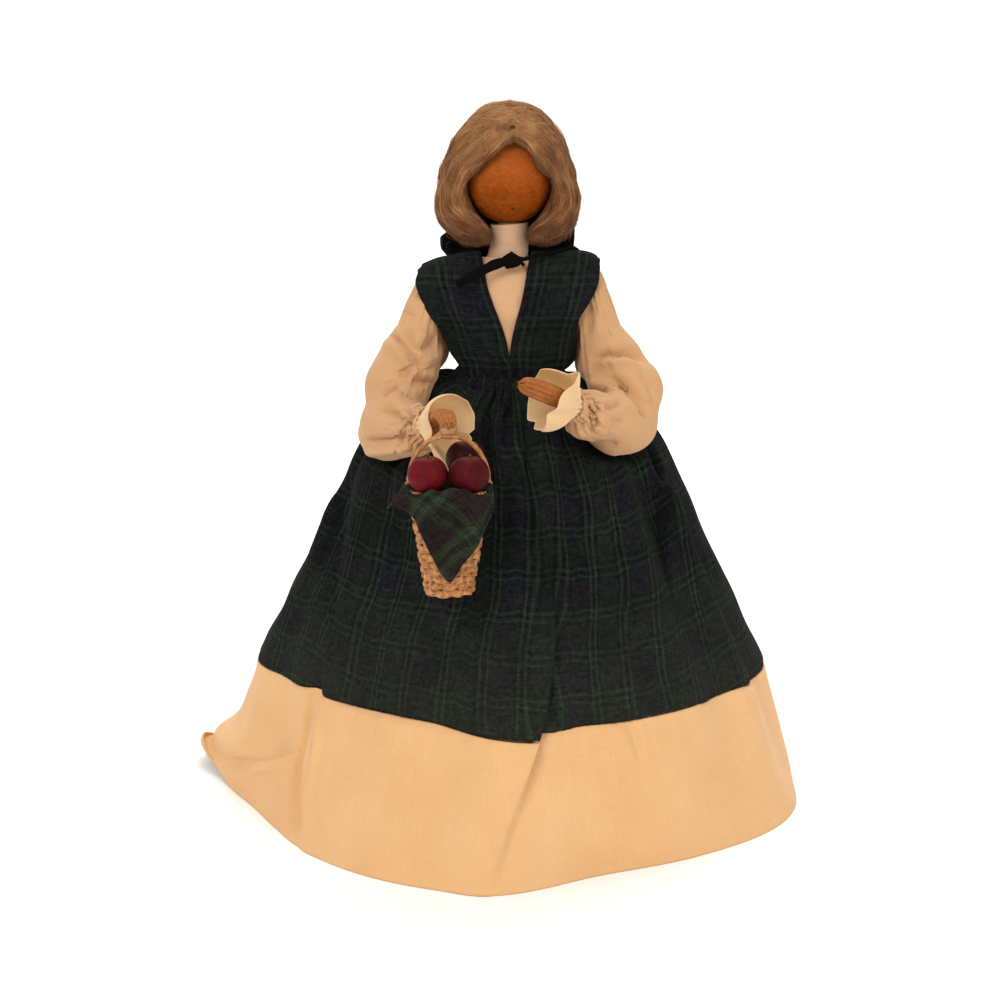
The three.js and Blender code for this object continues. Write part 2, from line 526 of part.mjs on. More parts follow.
const apples = [
  ['apple_right', V(bx - 8.15, by - 5.6, 163.8)],
  ['apple_left', V(bx + 8.15, by - 5.6, 163.8)],
  ['apple_back', V(bx + 6.8, by + 10.3, 167)],
];
const appleShape = (c, r, around = 14, rows = 10) => weld(warp(new THREE.SphereGeometry(1, around, rows).rotateX(Math.PI / 2), (v) => {
  const k = Math.hypot(v.x, v.y);
  const dimple = 0.16 * Math.exp(-Math.pow(k / 0.3, 2));
  v.set(c.x + r * v.x, c.y + r * v.y, c.z + r * (v.z * 0.95 - Math.sign(v.z) * dimple));
}));
for (const [name, c] of apples) {
  add(name, appleShape(c, APPLE_R), 'apple');
  add(name.replace('apple', 'apple_stem'), sweep(curve([[c.x, c.y, c.z + 0.79 * APPLE_R + GAP], [c.x + 0.25, c.y - 0.2, c.z + APPLE_R - 0.6], [c.x + 0.5, c.y - 0.4, c.z + APPLE_R + 0.1]]),
    V(1, 0, 0), () => 0.55, () => 0.55, 6, 3), 'stem');
}

// Napkin: bunched in the basket under the apples, one corner over the front.
const plugTop = 156.2;
const plug = put(turned([[0, BASKET_BOTTOM + 2 + GAP], [wallR(BASKET_BOTTOM + 2) - BASKET_WALL - 0.4, BASKET_BOTTOM + 2 + GAP],
  [wallR(rimBottom) - 2.4, rimBottom - 0.2], [wallR(rimBottom) - 2.2, 158], [wallR(rimBottom) - 6, plugTop], [0, plugTop]], 20));
const flapPath = [[0, wallR(rimBottom) - 5, 154.6], [0.1, wallR(rimBottom) - 1.9, 159.0], [0.18, wallR(rimBottom) + 1.6, 158.6], [0.25, wallR(rimBottom) + 2.2, 155.2], [1, wallR(118) + 1.9, 118]];
const flap = panel((u, w) => {
  const r = table(flapPath.map(([t, rr]) => [t, rr]), w);
  const z = table(flapPath.map(([t, , zz]) => [t, zz]), w);
  const half = w < 0.25 ? 0.95 : 0.95 * (1 - (w - 0.25) / 0.75) + 0.05;
  const q = (2 * u - 1) * half;
  return V(bx + r * Math.sin(q), by - r * Math.cos(q), z);
}, 6, 10, 0.8);
add('napkin', cut(join(plug, flap), ...apples.map(([, c]) => appleShape(c, APPLE_R + 1, 10, 8))), 'tartan');

// Lashing that ties the reed under the fingertips: a ring set across both.
const tieTop = 186.1, tieBottom = HANDLE_TOP - HANDLE_R - GAP - 0.4;
const tieMid = (tieTop + tieBottom) / 2;
const half = (tieTop - tieBottom) / 2;
add('basket_tie', weld(warp(new THREE.TorusGeometry(1, 0.1, 6, 22), (v) => {
  const d = Math.hypot(v.x, v.y);
  const off = (d - 1) * 4, c = v.x / d, e = v.y / d;
  const across = (6.6 + off) * c, up = (half + off) * e;
  v.set(bx + across * Math.SQRT1_2 - v.z * 4 * Math.SQRT1_2, by + across * Math.SQRT1_2 + v.z * 4 * Math.SQRT1_2, tieMid + up);
})), 'thread');

export default doll;
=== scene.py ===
import json
import math

import bpy
import numpy as np
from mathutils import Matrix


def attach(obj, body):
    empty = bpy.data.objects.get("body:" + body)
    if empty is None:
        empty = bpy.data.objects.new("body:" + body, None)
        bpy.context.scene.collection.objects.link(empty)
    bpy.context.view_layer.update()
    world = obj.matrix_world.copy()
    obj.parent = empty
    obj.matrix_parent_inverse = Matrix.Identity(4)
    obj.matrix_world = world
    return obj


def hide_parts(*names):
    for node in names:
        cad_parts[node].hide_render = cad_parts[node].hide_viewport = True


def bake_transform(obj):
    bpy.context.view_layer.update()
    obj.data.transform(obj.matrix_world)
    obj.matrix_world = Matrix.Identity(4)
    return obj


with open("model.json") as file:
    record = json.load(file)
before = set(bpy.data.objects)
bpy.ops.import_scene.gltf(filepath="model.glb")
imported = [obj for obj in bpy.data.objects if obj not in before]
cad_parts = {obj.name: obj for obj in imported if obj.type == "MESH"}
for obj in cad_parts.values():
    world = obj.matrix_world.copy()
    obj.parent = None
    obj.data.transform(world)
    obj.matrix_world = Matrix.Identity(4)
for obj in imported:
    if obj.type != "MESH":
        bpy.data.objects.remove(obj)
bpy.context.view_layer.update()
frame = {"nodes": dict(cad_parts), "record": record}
NODES = frame["nodes"]
scene = bpy.context.scene
scene.view_settings.view_transform = "Standard"
scene.view_settings.look = "None"
scene.view_settings.exposure = 0.0
scene.view_settings.gamma = 1.0

# ------------------------------------------------------------------ camera
cam_data = bpy.data.cameras.new("camera")
cam = bpy.data.objects.new("camera", cam_data)
scene.collection.objects.link(cam)
cam_data.sensor_width = 36.0
cam_data.lens = 71.0087
cam_data.clip_start = 0.01
cam_data.clip_end = 60.0
cam.location = (-0.004, -0.85, 0.32)
cam.rotation_euler = (math.radians(77.58114), 0.0, 0.0)
scene.camera = cam

TAU = 2 * math.pi


# ------------------------------------------------------------- small maths
def smooth(t):
    t = np.clip(t, 0.0, 1.0)
    return t * t * (3 - 2 * t)


def unit(v):
    v = np.asarray(v, float)
    return v / np.maximum(np.linalg.norm(v, axis=-1, keepdims=True), 1e-12)


def tab(rows, x):
    """A smooth curve through (x, y) rows that doesn't overshoot."""
    a = np.array([r[0] for r in rows], float)
    b = np.array([r[1] for r in rows], float)
    h = np.diff(a)
    d = np.diff(b) / h
    m = np.zeros_like(b)
    m[0], m[-1] = d[0], d[-1]
    for i in range(1, len(b) - 1):
        if d[i - 1] * d[i] > 0:
            w1, w2 = 2 * h[i] + h[i - 1], h[i] + 2 * h[i - 1]
            m[i] = (w1 + w2) / (w1 / d[i - 1] + w2 / d[i])
    x = np.clip(np.asarray(x, float), a[0], a[-1])
    i = np.clip(np.searchsorted(a, x, side="right") - 1, 0, len(a) - 2)
    t = (x - a[i]) / h[i]
    t2, t3 = t * t, t * t * t
    return (2 * t3 - 3 * t2 + 1) * b[i] + (t3 - 2 * t2 + t) * h[i] * m[i] + (3 * t2 - 2 * t3) * b[i + 1] + (t3 - t2) * h[i] * m[i + 1]


class Wob:
    """Smooth seeded noise in space, about -1 to 1."""

    def __init__(self, seed, n=9):
        r = np.random.default_rng(seed)
        self.k = unit(r.normal(size=(n, 3))) * r.uniform(0.6, 1.5, (n, 1))
        self.p = r.uniform(0, TAU, n)
        self.n = n

    def __call__(self, p, wave):
        p = np.asarray(p, float)
        return np.sin(p @ self.k.T * (TAU / wave) + self.p).sum(-1) / math.sqrt(self.n * 1.2)


def ring_noise(q, seed, orders):
    """Seeded noise that closes round a circle."""
    r = np.random.default_rng(seed)
    out = np.zeros_like(np.asarray(q, float))
    for k in orders:
        out = out + r.uniform(0.5, 1.0) * np.sin(k * q + r.uniform(0, TAU))
    return out / math.sqrt(len(list(orders)) * 0.5)


def spline(points, n, closed=False):
    """n points along a centripetal curve through the points, evenly spaced."""
    p = np.asarray(points, float)
    if closed:
        p = np.vstack([p[-1], p, p[:2]])
    else:
        p = np.vstack([2 * p[0] - p[1], p, 2 * p[-1] - p[-2]])
    out = []
    for i in range(1, len(p) - 2):
        p0, p1, p2, p3 = p[i - 1], p[i], p[i + 1], p[i + 2]
        t0 = 0.0
        t1 = t0 + max(np.linalg.norm(p1 - p0) ** 0.5, 1e-6)
        t2 = t1 + max(np.linalg.norm(p2 - p1) ** 0.5, 1e-6)
        t3 = t2 + max(np.linalg.norm(p3 - p2) ** 0.5, 1e-6)
        t = np.linspace(t1, t2, 40, endpoint=False)[:, None]
        a1 = (t1 - t) / (t1 - t0) * p0 + (t - t0) / (t1 - t0) * p1
        a2 = (t2 - t) / (t2 - t1) * p1 + (t - t1) / (t2 - t1) * p2
        a3 = (t3 - t) / (t3 - t2) * p2 + (t - t2) / (t3 - t2) * p3
        b1 = (t2 - t) / (t2 - t0) * a1 + (t - t0) / (t2 - t0) * a2
        b2 = (t3 - t) / (t3 - t1) * a2 + (t - t1) / (t3 - t1) * a3
        out.append((t2 - t) / (t2 - t1) * b1 + (t - t1) / (t2 - t1) * b2)
    out = np.vstack(out + [p[-2][None]])
    s = np.concatenate([[0], np.cumsum(np.linalg.norm(np.diff(out, axis=0), axis=1))])
    k = np.linspace(0, s[-1], n, endpoint=not closed)
    return np.stack([np.interp(k, s, out[:, c]) for c in range(3)], -1)


# ------------------------------------------------------------ mesh building
def make(name, verts, faces, uv=None, mats=(), smooth_shade=True, mat_index=None):
    """A mesh object from points in millimetres. faces: arrays of equal-sided polygons. uv: one row per loop, in millimetres of cloth."""
    verts = np.asarray(verts, float).reshape(-1, 3)
    groups = faces if isinstance(faces, list) else [faces]
    groups = [np.asarray(g, np.int64) for g in groups if len(g)]
    flat = np.concatenate([g.ravel() for g in groups])
    sizes = np.concatenate([np.full(len(g), g.shape[1]) for g in groups])
    me = bpy.data.meshes.new(name)
    me.vertices.add(len(verts))
    me.vertices.foreach_set("co", (verts * 0.001).astype(np.float32).ravel())
    me.loops.add(len(flat))
    me.loops.foreach_set("vertex_index", flat.astype(np.int32))
    me.polygons.add(len(sizes))
    me.polygons.foreach_set("loop_start", np.concatenate([[0], np.cumsum(sizes)[:-1]]).astype(np.int32))
    me.polygons.foreach_set("loop_total", sizes.astype(np.int32))
    if mat_index is not None:
        me.polygons.foreach_set("material_index", np.asarray(mat_index, np.int32))
    me.update(calc_edges=True)
    me.polygons.foreach_set("use_smooth", np.full(len(sizes), bool(smooth_shade)))
    if uv is not None:
        layer = me.uv_layers.new(name="cloth")
        layer.data.foreach_set("uv", np.asarray(uv, np.float32).ravel())
    for m in mats:
        me.materials.append(m)
    me.validate()
    ob = bpy.data.objects.new(name, me)
    scene.collection.objects.link(ob)
    return ob


def grid_parts(P, UV=None, closed=False, flip=False):
    """Vertices, quads and loop UVs of a (rows, columns, 3) grid. closed joins the last column to the first; UV then has one more column."""
    rows, cols = P.shape[:2]
    i = np.arange(cols if closed else cols - 1)
    j = np.arange(rows - 1)
    J, I = np.meshgrid(j, i, indexing="ij")
    I2 = (I + 1) % cols
    quads = np.stack([J * cols + I, J * cols + I2, (J + 1) * cols + I2, (J + 1) * cols + I], -1).reshape(-1, 4)
    uv = None
    if UV is not None:
        IU = I + 1
        uv = np.stack([UV[J, I], UV[J, IU], UV[J + 1, IU], UV[J + 1, I]], -2).reshape(-1, 4, 2)
    if flip:
        quads = quads[:, ::-1]
        uv = None if uv is None else uv[:, ::-1]
    return P.reshape(-1, 3), quads, uv


class Parts:
    """Collects several surfaces into one mesh."""

    def __init__(self):
        self.v, self.f, self.uv, self.mi, self.n = [], {}, {}, {}, 0

    def add(self, verts, faces, uv=None, mat=0):
        verts = np.asarray(verts, float).reshape(-1, 3)
        faces = np.asarray(faces, np.int64)
        k = faces.shape[1]
        self.v.append(verts)
        self.f.setdefault(k, []).append(faces + self.n)
        if uv is None:
            uv = np.zeros((len(faces), k, 2))
        self.uv.setdefault(k, []).append(np.asarray(uv, float).reshape(-1, k, 2))
        self.mi.setdefault(k, []).append(np.full(len(faces), mat))
        self.n += len(verts)

    def build(self, name, mats):
        keys = sorted(self.f)
        faces = [np.concatenate(self.f[k]) for k in keys]
        uv = np.concatenate([np.concatenate(self.uv[k]).reshape(-1, 2) for k in keys])
        mi = np.concatenate([np.concatenate(self.mi[k]) for k in keys])
        return make(name, np.concatenate(self.v), faces, uv, mats, mat_index=mi)


def frames_along(path, closed=False, up=None):
    """Tangent, normal and binormal along a path, without twist."""
    p = np.asarray(path, float)
    if closed:
        t = unit(np.roll(p, -1, 0) - np.roll(p, 1, 0))
    else:
        t = unit(np.gradient(p, axis=0))
    n = np.zeros_like(p)
    a = np.array(up if up is not None else ([0, 0, 1] if abs(t[0][2]) < 0.9 else [1, 0, 0]), float)
    a = a - t[0] * (a @ t[0])
    n[0] = unit(a)
    for i in range(1, len(p)):
        a = n[i - 1] - t[i] * (n[i - 1] @ t[i])
        n[i] = unit(a)
    if closed:
        a = n[-1] - t[0] * (n[-1] @ t[0])
        a = unit(a)
        ang = math.atan2(np.cross(a, n[0]) @ t[0], a @ n[0])
        k = np.arange(len(p)) / len(p) * ang
        b = np.cross(t, n)
        n = n * np.cos(k)[:, None] + b * np.sin(k)[:, None]
    return t, n, np.cross(t, n)


def tube_parts(path, ra, rb=None, sides=8, closed=False, up=None, spin=0.0, lobes=0, lobe=0.0, cap=True, u0=0.0):
    """A tube along a path with half-axes ra (along the normal) and rb. spin turns the section along the path; lobes give a plied look."""
    path = np.asarray(path, float)
    n = len(path)
    ra = np.broadcast_to(np.asarray(ra, float), (n,))
    rb = ra if rb is None else np.broadcast_to(np.asarray(rb, float), (n,))
    t, nn, bb = frames_along(path, closed, up)
    a = np.linspace(0, TAU, sides, endpoint=False)
    s = np.concatenate([[0], np.cumsum(np.linalg.norm(np.diff(path, axis=0), axis=1))])
    tw = (np.asarray(spin) * s)[:, None] + a[None, :] if np.ndim(spin) == 0 else np.asarray(spin)[:, None] + a[None, :]
    k = 1 + lobe * np.cos(lobes * a)[None, :] if lobes else 1.0
    ca, sa = np.cos(tw) * k, np.sin(tw) * k
    P = path[:, None] + nn[:, None] * (ca * ra[:, None])[..., None] + bb[:, None] * (sa * rb[:, None])[..., None]
    u = np.linspace(0, 1, sides + 1) * TAU * float(np.mean(ra)) + u0
    if closed:
        PP = np.concatenate([P, P[:1]], 0)
        S = np.append(s, s[-1] + np.linalg.norm(path[0] - path[-1]))
        UV = np.stack(np.broadcast_arrays(u[None, :], S[:, None]), -1)
        rows, cols = n, sides
        J, I = np.meshgrid(np.arange(rows), np.arange(cols), indexing="ij")
        J2, I2 = (J + 1) % rows, (I + 1) % cols
        q = np.stack([J * cols + I, J * cols + I2, J2 * cols + I2, J2 * cols + I], -1).reshape(-1, 4)
        uv = np.stack([UV[J, I], UV[J, I + 1], UV[J + 1, I + 1], UV[J + 1, I]], -2).reshape(-1, 4, 2)
        return P.reshape(-1, 3), q, uv
    UV = np.stack(np.broadcast_arrays(u[None, :], s[:, None]), -1)
    v, q, uv = grid_parts(P, UV, closed=True)
    if cap:
        tip0, tip1 = path[0] - t[0] * 0.3 * min(ra[0], rb[0]), path[-1] + t[-1] * 0.3 * min(ra[-1], rb[-1])
        i0, i1 = len(v), len(v) + 1
        v = np.vstack([v, tip0, tip1])
        a0 = np.arange(sides)
        a1 = (a0 + 1) % sides
        last = (n - 1) * sides
        q0 = np.stack([np.full(sides, i0), a1, a0, np.full(sides, i0)], -1)
        q1 = np.stack([np.full(sides, i1), last + a0, last + a1, np.full(sides, i1)], -1)
        tri = np.vstack([q0[:, :3], q1[:, :3]])
        return v, q, uv, tri
    return v, q, uv


def add_tube(parts, *args, mat=0, **kw):
    r = tube_parts(*args, **kw)
    if len(r) == 4:
        v, q, uv, tri = r
        base = parts.n
        parts.add(v, q, uv, mat)
        parts.f.setdefault(3, []).append(tri + base)
        parts.uv.setdefault(3, []).append(np.zeros((len(tri), 3, 2)) + uv.reshape(-1, 2).mean(0))
        parts.mi.setdefault(3, []).append(np.full(len(tri), mat))
    else:
        parts.add(*r, mat)


def thicken(ob, t_mm, offset=-1.0, rim=True):
    m = ob.modifiers.new("cloth_thickness", "SOLIDIFY")
    m.thickness = t_mm * 0.001
    m.offset = offset
    m.use_rim = rim
    return ob


def subdivide(ob, n=1):
    m = ob.modifiers.new("fine", "SUBSURF")
    m.levels = n
    m.render_levels = n
    return ob


def grid_normals(P, closed=False, away=None):
    du = (np.roll(P, -1, 1) - np.roll(P, 1, 1)) if closed else np.gradient(P, axis=1)
    dv = np.gradient(P, axis=0)
    n = unit(np.cross(du, dv))
    if away is not None:
        s = np.sign(((P - np.asarray(away, float)) * n).sum(-1).mean())
        n = n * (s if s else 1)
    return n


def facing(P, away, closed=False):
    """True if the grid's quads have to be flipped to face away from a point or axis."""
    du = (np.roll(P, -1, 1) - P) if closed else np.gradient(P, axis=1)
    dv = np.gradient(P, axis=0)
    n = np.cross(du, dv)
    return bool(((P - np.asarray(away, float)) * n).sum() < 0)


def area_of(ob):
    me = ob.data
    a = np.zeros(len(me.polygons), np.float32)
    me.polygons.foreach_get("area", a)
    return float(a.sum())


# ---------------------------------------------------------------- materials
def lin(r, g, b):
    f = lambda c: c / 255 / 12.92 if c / 255 <= 0.04045 else ((c / 255 + 0.055) / 1.055) ** 2.4
    return (f(r), f(g), f(b), 1.0)


class Mat:
    def __init__(self, name, **sockets):
        self.m = bpy.data.materials.new(name)
        self.m.use_nodes = True
        self.t = self.m.node_tree
        self.t.nodes.clear()
        self.out = self.t.nodes.new("ShaderNodeOutputMaterial")
        self.b = self.t.nodes.new("ShaderNodeBsdfPrincipled")
        self.t.links.new(self.b.outputs[0], self.out.inputs[0])
        for k, v in sockets.items():
            self.b.inputs[k.replace("_", " ")].default_value = v

    def to(self, a, socket):
        if isinstance(a, bpy.types.NodeSocket):
            self.t.links.new(a, socket)
        else:
            socket.default_value = a

    def new(self, kind, **props):
        n = self.t.nodes.new(kind)
        for k, v in props.items():
            setattr(n, k, v)
        return n

    def math(self, op, a, b=None, c=None, clamp=False):
        n = self.new("ShaderNodeMath", operation=op, use_clamp=clamp)
        for i, x in enumerate((a, b, c)):
            if x is not None:
                self.to(x, n.inputs[i])
        return n.outputs[0]

    def mix(self, f, a, b, blend="MIX"):
        n = self.new("ShaderNodeMix", data_type="RGBA", blend_type=blend)
        self.to(f, n.inputs[0])
        self.to(a, n.inputs[6])
        self.to(b, n.inputs[7])
        return n.outputs[2]

    def ramp(self, f, stops, kind="LINEAR"):
        n = self.new("ShaderNodeValToRGB")
        n.color_ramp.interpolation = kind
        e = n.color_ramp.elements
        while len(e) < len(stops):
            e.new(0.5)
        for el, (p, c) in zip(e, stops):
            el.position = p
            el.color = c if len(c) == 4 else (*c, 1.0)
        self.to(f, n.inputs[0])
        return n.outputs[0]

    def gray(self, f, stops):
        return self.ramp(f, [(p, (v, v, v, 1.0)) for p, v in stops])

    def uv(self):
        n = self.new("ShaderNodeUVMap")
        n.uv_map = "cloth"
        s = self.new("ShaderNodeSeparateXYZ")
        self.t.links.new(n.outputs[0], s.inputs[0])
        return n.outputs[0], s.outputs[0], s.outputs[1]

    def place(self):
        """Position on the object, in millimetres."""
        n = self.new("ShaderNodeTexCoord")
        m = self.new("ShaderNodeVectorMath", operation="SCALE")
        self.t.links.new(n.outputs["Object"], m.inputs[0])
        m.inputs[3].default_value = 1000.0
        s = self.new("ShaderNodeSeparateXYZ")
        self.t.links.new(m.outputs[0], s.inputs[0])
        return m.outputs[0], s.outputs[0], s.outputs[1], s.outputs[2]

    def scaled(self, vec, x, y, z):
        n = self.new("ShaderNodeVectorMath", operation="MULTIPLY")
        self.to(vec, n.inputs[0])
        n.inputs[1].default_value = (x, y, z)
        return n.outputs[0]

    def join(self, x, y, z=0.0):
        n = self.new("ShaderNodeCombineXYZ")
        for i, a in enumerate((x, y, z)):
            self.to(a, n.inputs[i])
        return n.outputs[0]

    def noise(self, vec, scale, detail=3.0, rough=0.55, distort=0.0):
        n = self.new("ShaderNodeTexNoise")
        self.to(vec, n.inputs["Vector"])
        n.inputs["Scale"].default_value = scale
        n.inputs["Detail"].default_value = detail
        n.inputs["Roughness"].default_value = rough
        n.inputs["Distortion"].default_value = distort
        return n.outputs[0]

    def cells(self, vec, scale, feature="F1"):
        n = self.new("ShaderNodeTexVoronoi", feature=feature)
        self.to(vec, n.inputs["Vector"])
        n.inputs["Scale"].default_value = scale
        return n.outputs[0]

    def bump(self, height, strength, depth_mm, normal=None):
        n = self.new("ShaderNodeBump")
        n.inputs["Strength"].default_value = strength
        n.inputs["Distance"].default_value = depth_mm * 0.001
        self.to(height, n.inputs["Height"])
        if normal is not None:
            self.to(normal, n.inputs["Normal"])
        return n.outputs[0]

    def color(self, c):
        self.to(c, self.b.inputs["Base Color"])

    def rough(self, r):
        self.to(r, self.b.inputs["Roughness"])

    def normal(self, n):
        self.to(n, self.b.inputs["Normal"])


def plain_weave(M, u, v, pitch):
    """Height of a plain weave, 0 to 1: threads that go over and under each other."""
    a = M.math("SINE", M.math("MULTIPLY", u, math.pi / pitch))
    b = M.math("SINE", M.math("MULTIPLY", v, math.pi / pitch))
    over = M.math("MULTIPLY", a, b)
    ridge = M.math("MAXIMUM", M.math("ABSOLUTE", a), M.math("ABSOLUTE", b))
    return M.math("MULTIPLY_ADD", over, 0.35, M.math("MULTIPLY", ridge, 0.6))


def muslin_material(name, tone=(238, 194, 141), shade=(219, 168, 112), specks=True, pitch=0.55, sheen=0.12):
    M = Mat(name, Roughness=0.9, Sheen_Weight=sheen, Sheen_Roughness=0.5, Specular_IOR_Level=0.25)
    vec, u, v = M.uv()
    pos, x, y, z = M.place()
    weave = plain_weave(M, u, v, pitch)
    slub_u = M.noise(M.join(M.math("MULTIPLY", u, 0.07), M.math("MULTIPLY", v, 1.5)), 1.0, 3.0, 0.6)
    slub_v = M.noise(M.join(M.math("MULTIPLY", u, 1.5), M.math("MULTIPLY", v, 0.06)), 1.0, 3.0, 0.6)
    slub = M.math("ADD", M.math("MULTIPLY", slub_u, 0.5), M.math("MULTIPLY", slub_v, 0.5))
    broad = M.noise(pos, 0.035, 2.0, 0.5)
    t = M.math("ADD", M.math("MULTIPLY", M.math("SUBTRACT", slub, 0.5), 1.1), M.math("MULTIPLY", broad, 0.75), clamp=True)
    base = M.mix(t, lin(*shade), lin(*tone))
    base = M.mix(M.math("MULTIPLY", M.math("SUBTRACT", 1.0, weave), 0.22), base, lin(*[c * 0.72 for c in shade]))
    if specks:
        cell = M.cells(M.join(M.math("MULTIPLY", u, 0.11), M.math("MULTIPLY", v, 0.09)), 1.0)
        dot = M.gray(cell, [(0.0, 1.0), (0.035, 0.75), (0.06, 0.0)])
        keep = M.gray(M.noise(M.join(M.math("MULTIPLY", u, 0.03), M.math("MULTIPLY", v, 0.03)), 1.0, 0.0), [(0.5, 0.0), (0.56, 1.0)])
        base = M.mix(M.math("MULTIPLY", M.math("MULTIPLY", dot, keep), 0.5), base, lin(150, 95, 48))
    M.color(base)
    h = M.math("ADD", M.math("MULTIPLY", weave, 0.5), M.math("MULTIPLY", slub, 0.9))
    M.normal(M.bump(h, 0.35, 0.22))
    return M.m


def tartan_material(name, period=35.0, gain=1.0, turn=0.0, tones=None, weft_share=0.44, broad=False, phase=(0.0, 0.0), painted_light_low=0.0):
    """Dark navy and black check with broad green-black bands and paired green lines, in a 2/2 twill."""
    M = Mat(name, Roughness=1.0, Sheen_Weight=0.015, Sheen_Roughness=0.5, Specular_IOR_Level=0.02)
    vec, u, v = M.uv()
    if turn:
        c, s = math.cos(turn), math.sin(turn)
        u, v = (M.math("ADD", M.math("MULTIPLY", u, c), M.math("MULTIPLY", v, -s)),
                M.math("ADD", M.math("MULTIPLY", u, s), M.math("MULTIPLY", v, c)))
    u, v = M.math("ADD", u, phase[0]), M.math("ADD", v, phase[1])
    pos, x, y, z = M.place()
    sway = M.math("MULTIPLY", M.math("SUBTRACT", M.noise(M.join(M.math("MULTIPLY", u, 0.05), M.math("MULTIPLY", v, 0.05)), 1.0, 1.0), 0.5), 2.4)
    navy, black, pine, line = [lin(*[c * gain for c in tone]) for tone in (tones or ((24, 23, 32), (12, 13, 15), (24, 33, 25), (42, 63, 45)))]
    e = 0.026

    def band(c, line):
        f = M.math("FRACT", M.math("DIVIDE", M.math("ADD", c, sway), period))
        rows = [(0.0, navy), (0.28, navy), (0.28 + e, black), (0.332, black), (0.332 + e, line), (0.366, line), (0.366 + e, black), (0.425, black),
                (0.425 + e, line), (0.459, line), (0.459 + e, black), (0.5, black), (0.5 + e, pine), (0.78, pine), (0.78 + e, black), (0.832, black),
                (0.832 + e, line), (0.866, line), (0.866 + e, black), (0.925, black), (0.925 + e, line), (0.959, line), (0.959 + e, black), (1.0, navy)]
        if broad:
            rows = [(0.0, navy), (0.40, navy), (0.45, line), (0.54, line), (0.59, black), (0.65, black), (0.70, line), (0.79, line), (0.84, navy), (1.0, navy)]
        return M.ramp(f, rows)

    faint = tuple(0.8 * a_ + 0.2 * b_ for a_, b_ in zip(line, pine))
    warp, weft = band(u, line), band(v, faint)
    twill = M.math("SINE", M.math("MULTIPLY", M.math("ADD", u, v), TAU / 0.9))
    base = M.mix(M.math("MULTIPLY_ADD", twill, 0.24, weft_share), warp, weft)
    lint = M.noise(pos, 0.55, 4.0, 0.65)
    fade = M.noise(pos, 0.05, 2.0, 0.5)
    # uneven brushed yarn, both ways
    yarn_u = M.noise(M.join(M.math("MULTIPLY", u, 1.5), M.math("MULTIPLY", v, 0.15)), 1.0, 3.0, 0.65)
    yarn_v = M.noise(M.join(M.math("MULTIPLY", u, 0.13), M.math("MULTIPLY", v, 1.3)), 1.0, 3.0, 0.65)
    base = M.mix(M.gray(yarn_u, [(0.36, 0.62), (0.54, 0.0)]), base, lin(9, 9, 10))
    base = M.mix(M.gray(yarn_v, [(0.36, 0.55), (0.52, 0.0)]), base, lin(10, 10, 10))
    base = M.mix(M.gray(yarn_v, [(0.54, 0.0), (0.74, 0.30)]), base, lin(56 * gain, 56 * gain, 50 * gain))
    base = M.mix(M.math("MULTIPLY", M.gray(lint, [(0.45, 0.0), (0.75, 1.0)]), 0.34), base, lin(54 * gain, 54 * gain, 48 * gain))
    base = M.mix(M.gray(fade, [(0.35, 0.35), (0.65, 0.0)]), base, lin(10, 10, 11))
    if painted_light_low:
        # painted light: lighter lint towards the hem, where the lower skirt stands in more light
        base = M.mix(M.math("MULTIPLY", lint, M.gray(M.math("DIVIDE", z, 190.0), [(0.28, painted_light_low), (0.62, 0.0)])), base, lin(64, 66, 56))
    M.color(base)
    yarn = M.math("ADD", M.math("MULTIPLY", twill, 0.5), M.math("MULTIPLY", M.noise(M.join(M.math("MULTIPLY", u, 1.4), M.math("MULTIPLY", v, 1.4)), 1.0, 3.0, 0.6), 1.2))
    M.normal(M.bump(yarn, 0.35, 0.2))
    return M.m


def red_lining_material():
    M = Mat("lining_cloth", Roughness=0.85, Sheen_Weight=0.25, Sheen_Roughness=0.4, Specular_IOR_Level=0.2)
    vec, u, v = M.uv()
    pos, x, y, z = M.place()
    weave = plain_weave(M, u, v, 0.5)
    t = M.noise(pos, 0.15, 3.0, 0.6)
    base = M.mix(t, lin(104, 12, 24), lin(140, 22, 36))
    M.color(M.mix(M.math("MULTIPLY", M.math("SUBTRACT", 1.0, weave), 0.35), base, lin(60, 4, 12)))
    M.normal(M.bump(weave, 0.4, 0.15))
    return M.m


def wool_material():
    M = Mat("combed_wool", Roughness=0.8, Sheen_Weight=0.15, Sheen_Roughness=0.4, Specular_IOR_Level=0.12)
    vec, u, v = M.uv()
    pos, x, y, z = M.place()
    tone = M.ramp(u, [(0.0, lin(104, 64, 34)), (0.3, lin(150, 99, 58)), (0.65, lin(190, 136, 86)), (1.0, lin(216, 168, 118))])
    along = M.noise(M.join(M.math("MULTIPLY", u, 60.0), M.math("MULTIPLY", v, 0.22)), 1.0, 2.0, 0.5)
    tone = M.mix(M.gray(along, [(0.35, 0.25), (0.65, 0.0)]), tone, lin(80, 50, 30))
    patch = M.noise(pos, 0.09, 2.0, 0.5)
    tone = M.mix(M.gray(patch, [(0.4, 0.22), (0.6, 0.0)]), tone, lin(112, 76, 50))
    M.color(tone)
    fibre = M.noise(M.join(M.math("MULTIPLY", u, 220.0), M.math("MULTIPLY", v, 0.5)), 1.0, 2.0, 0.6)
    M.normal(M.bump(fibre, 0.35, 0.15))
    return M.m


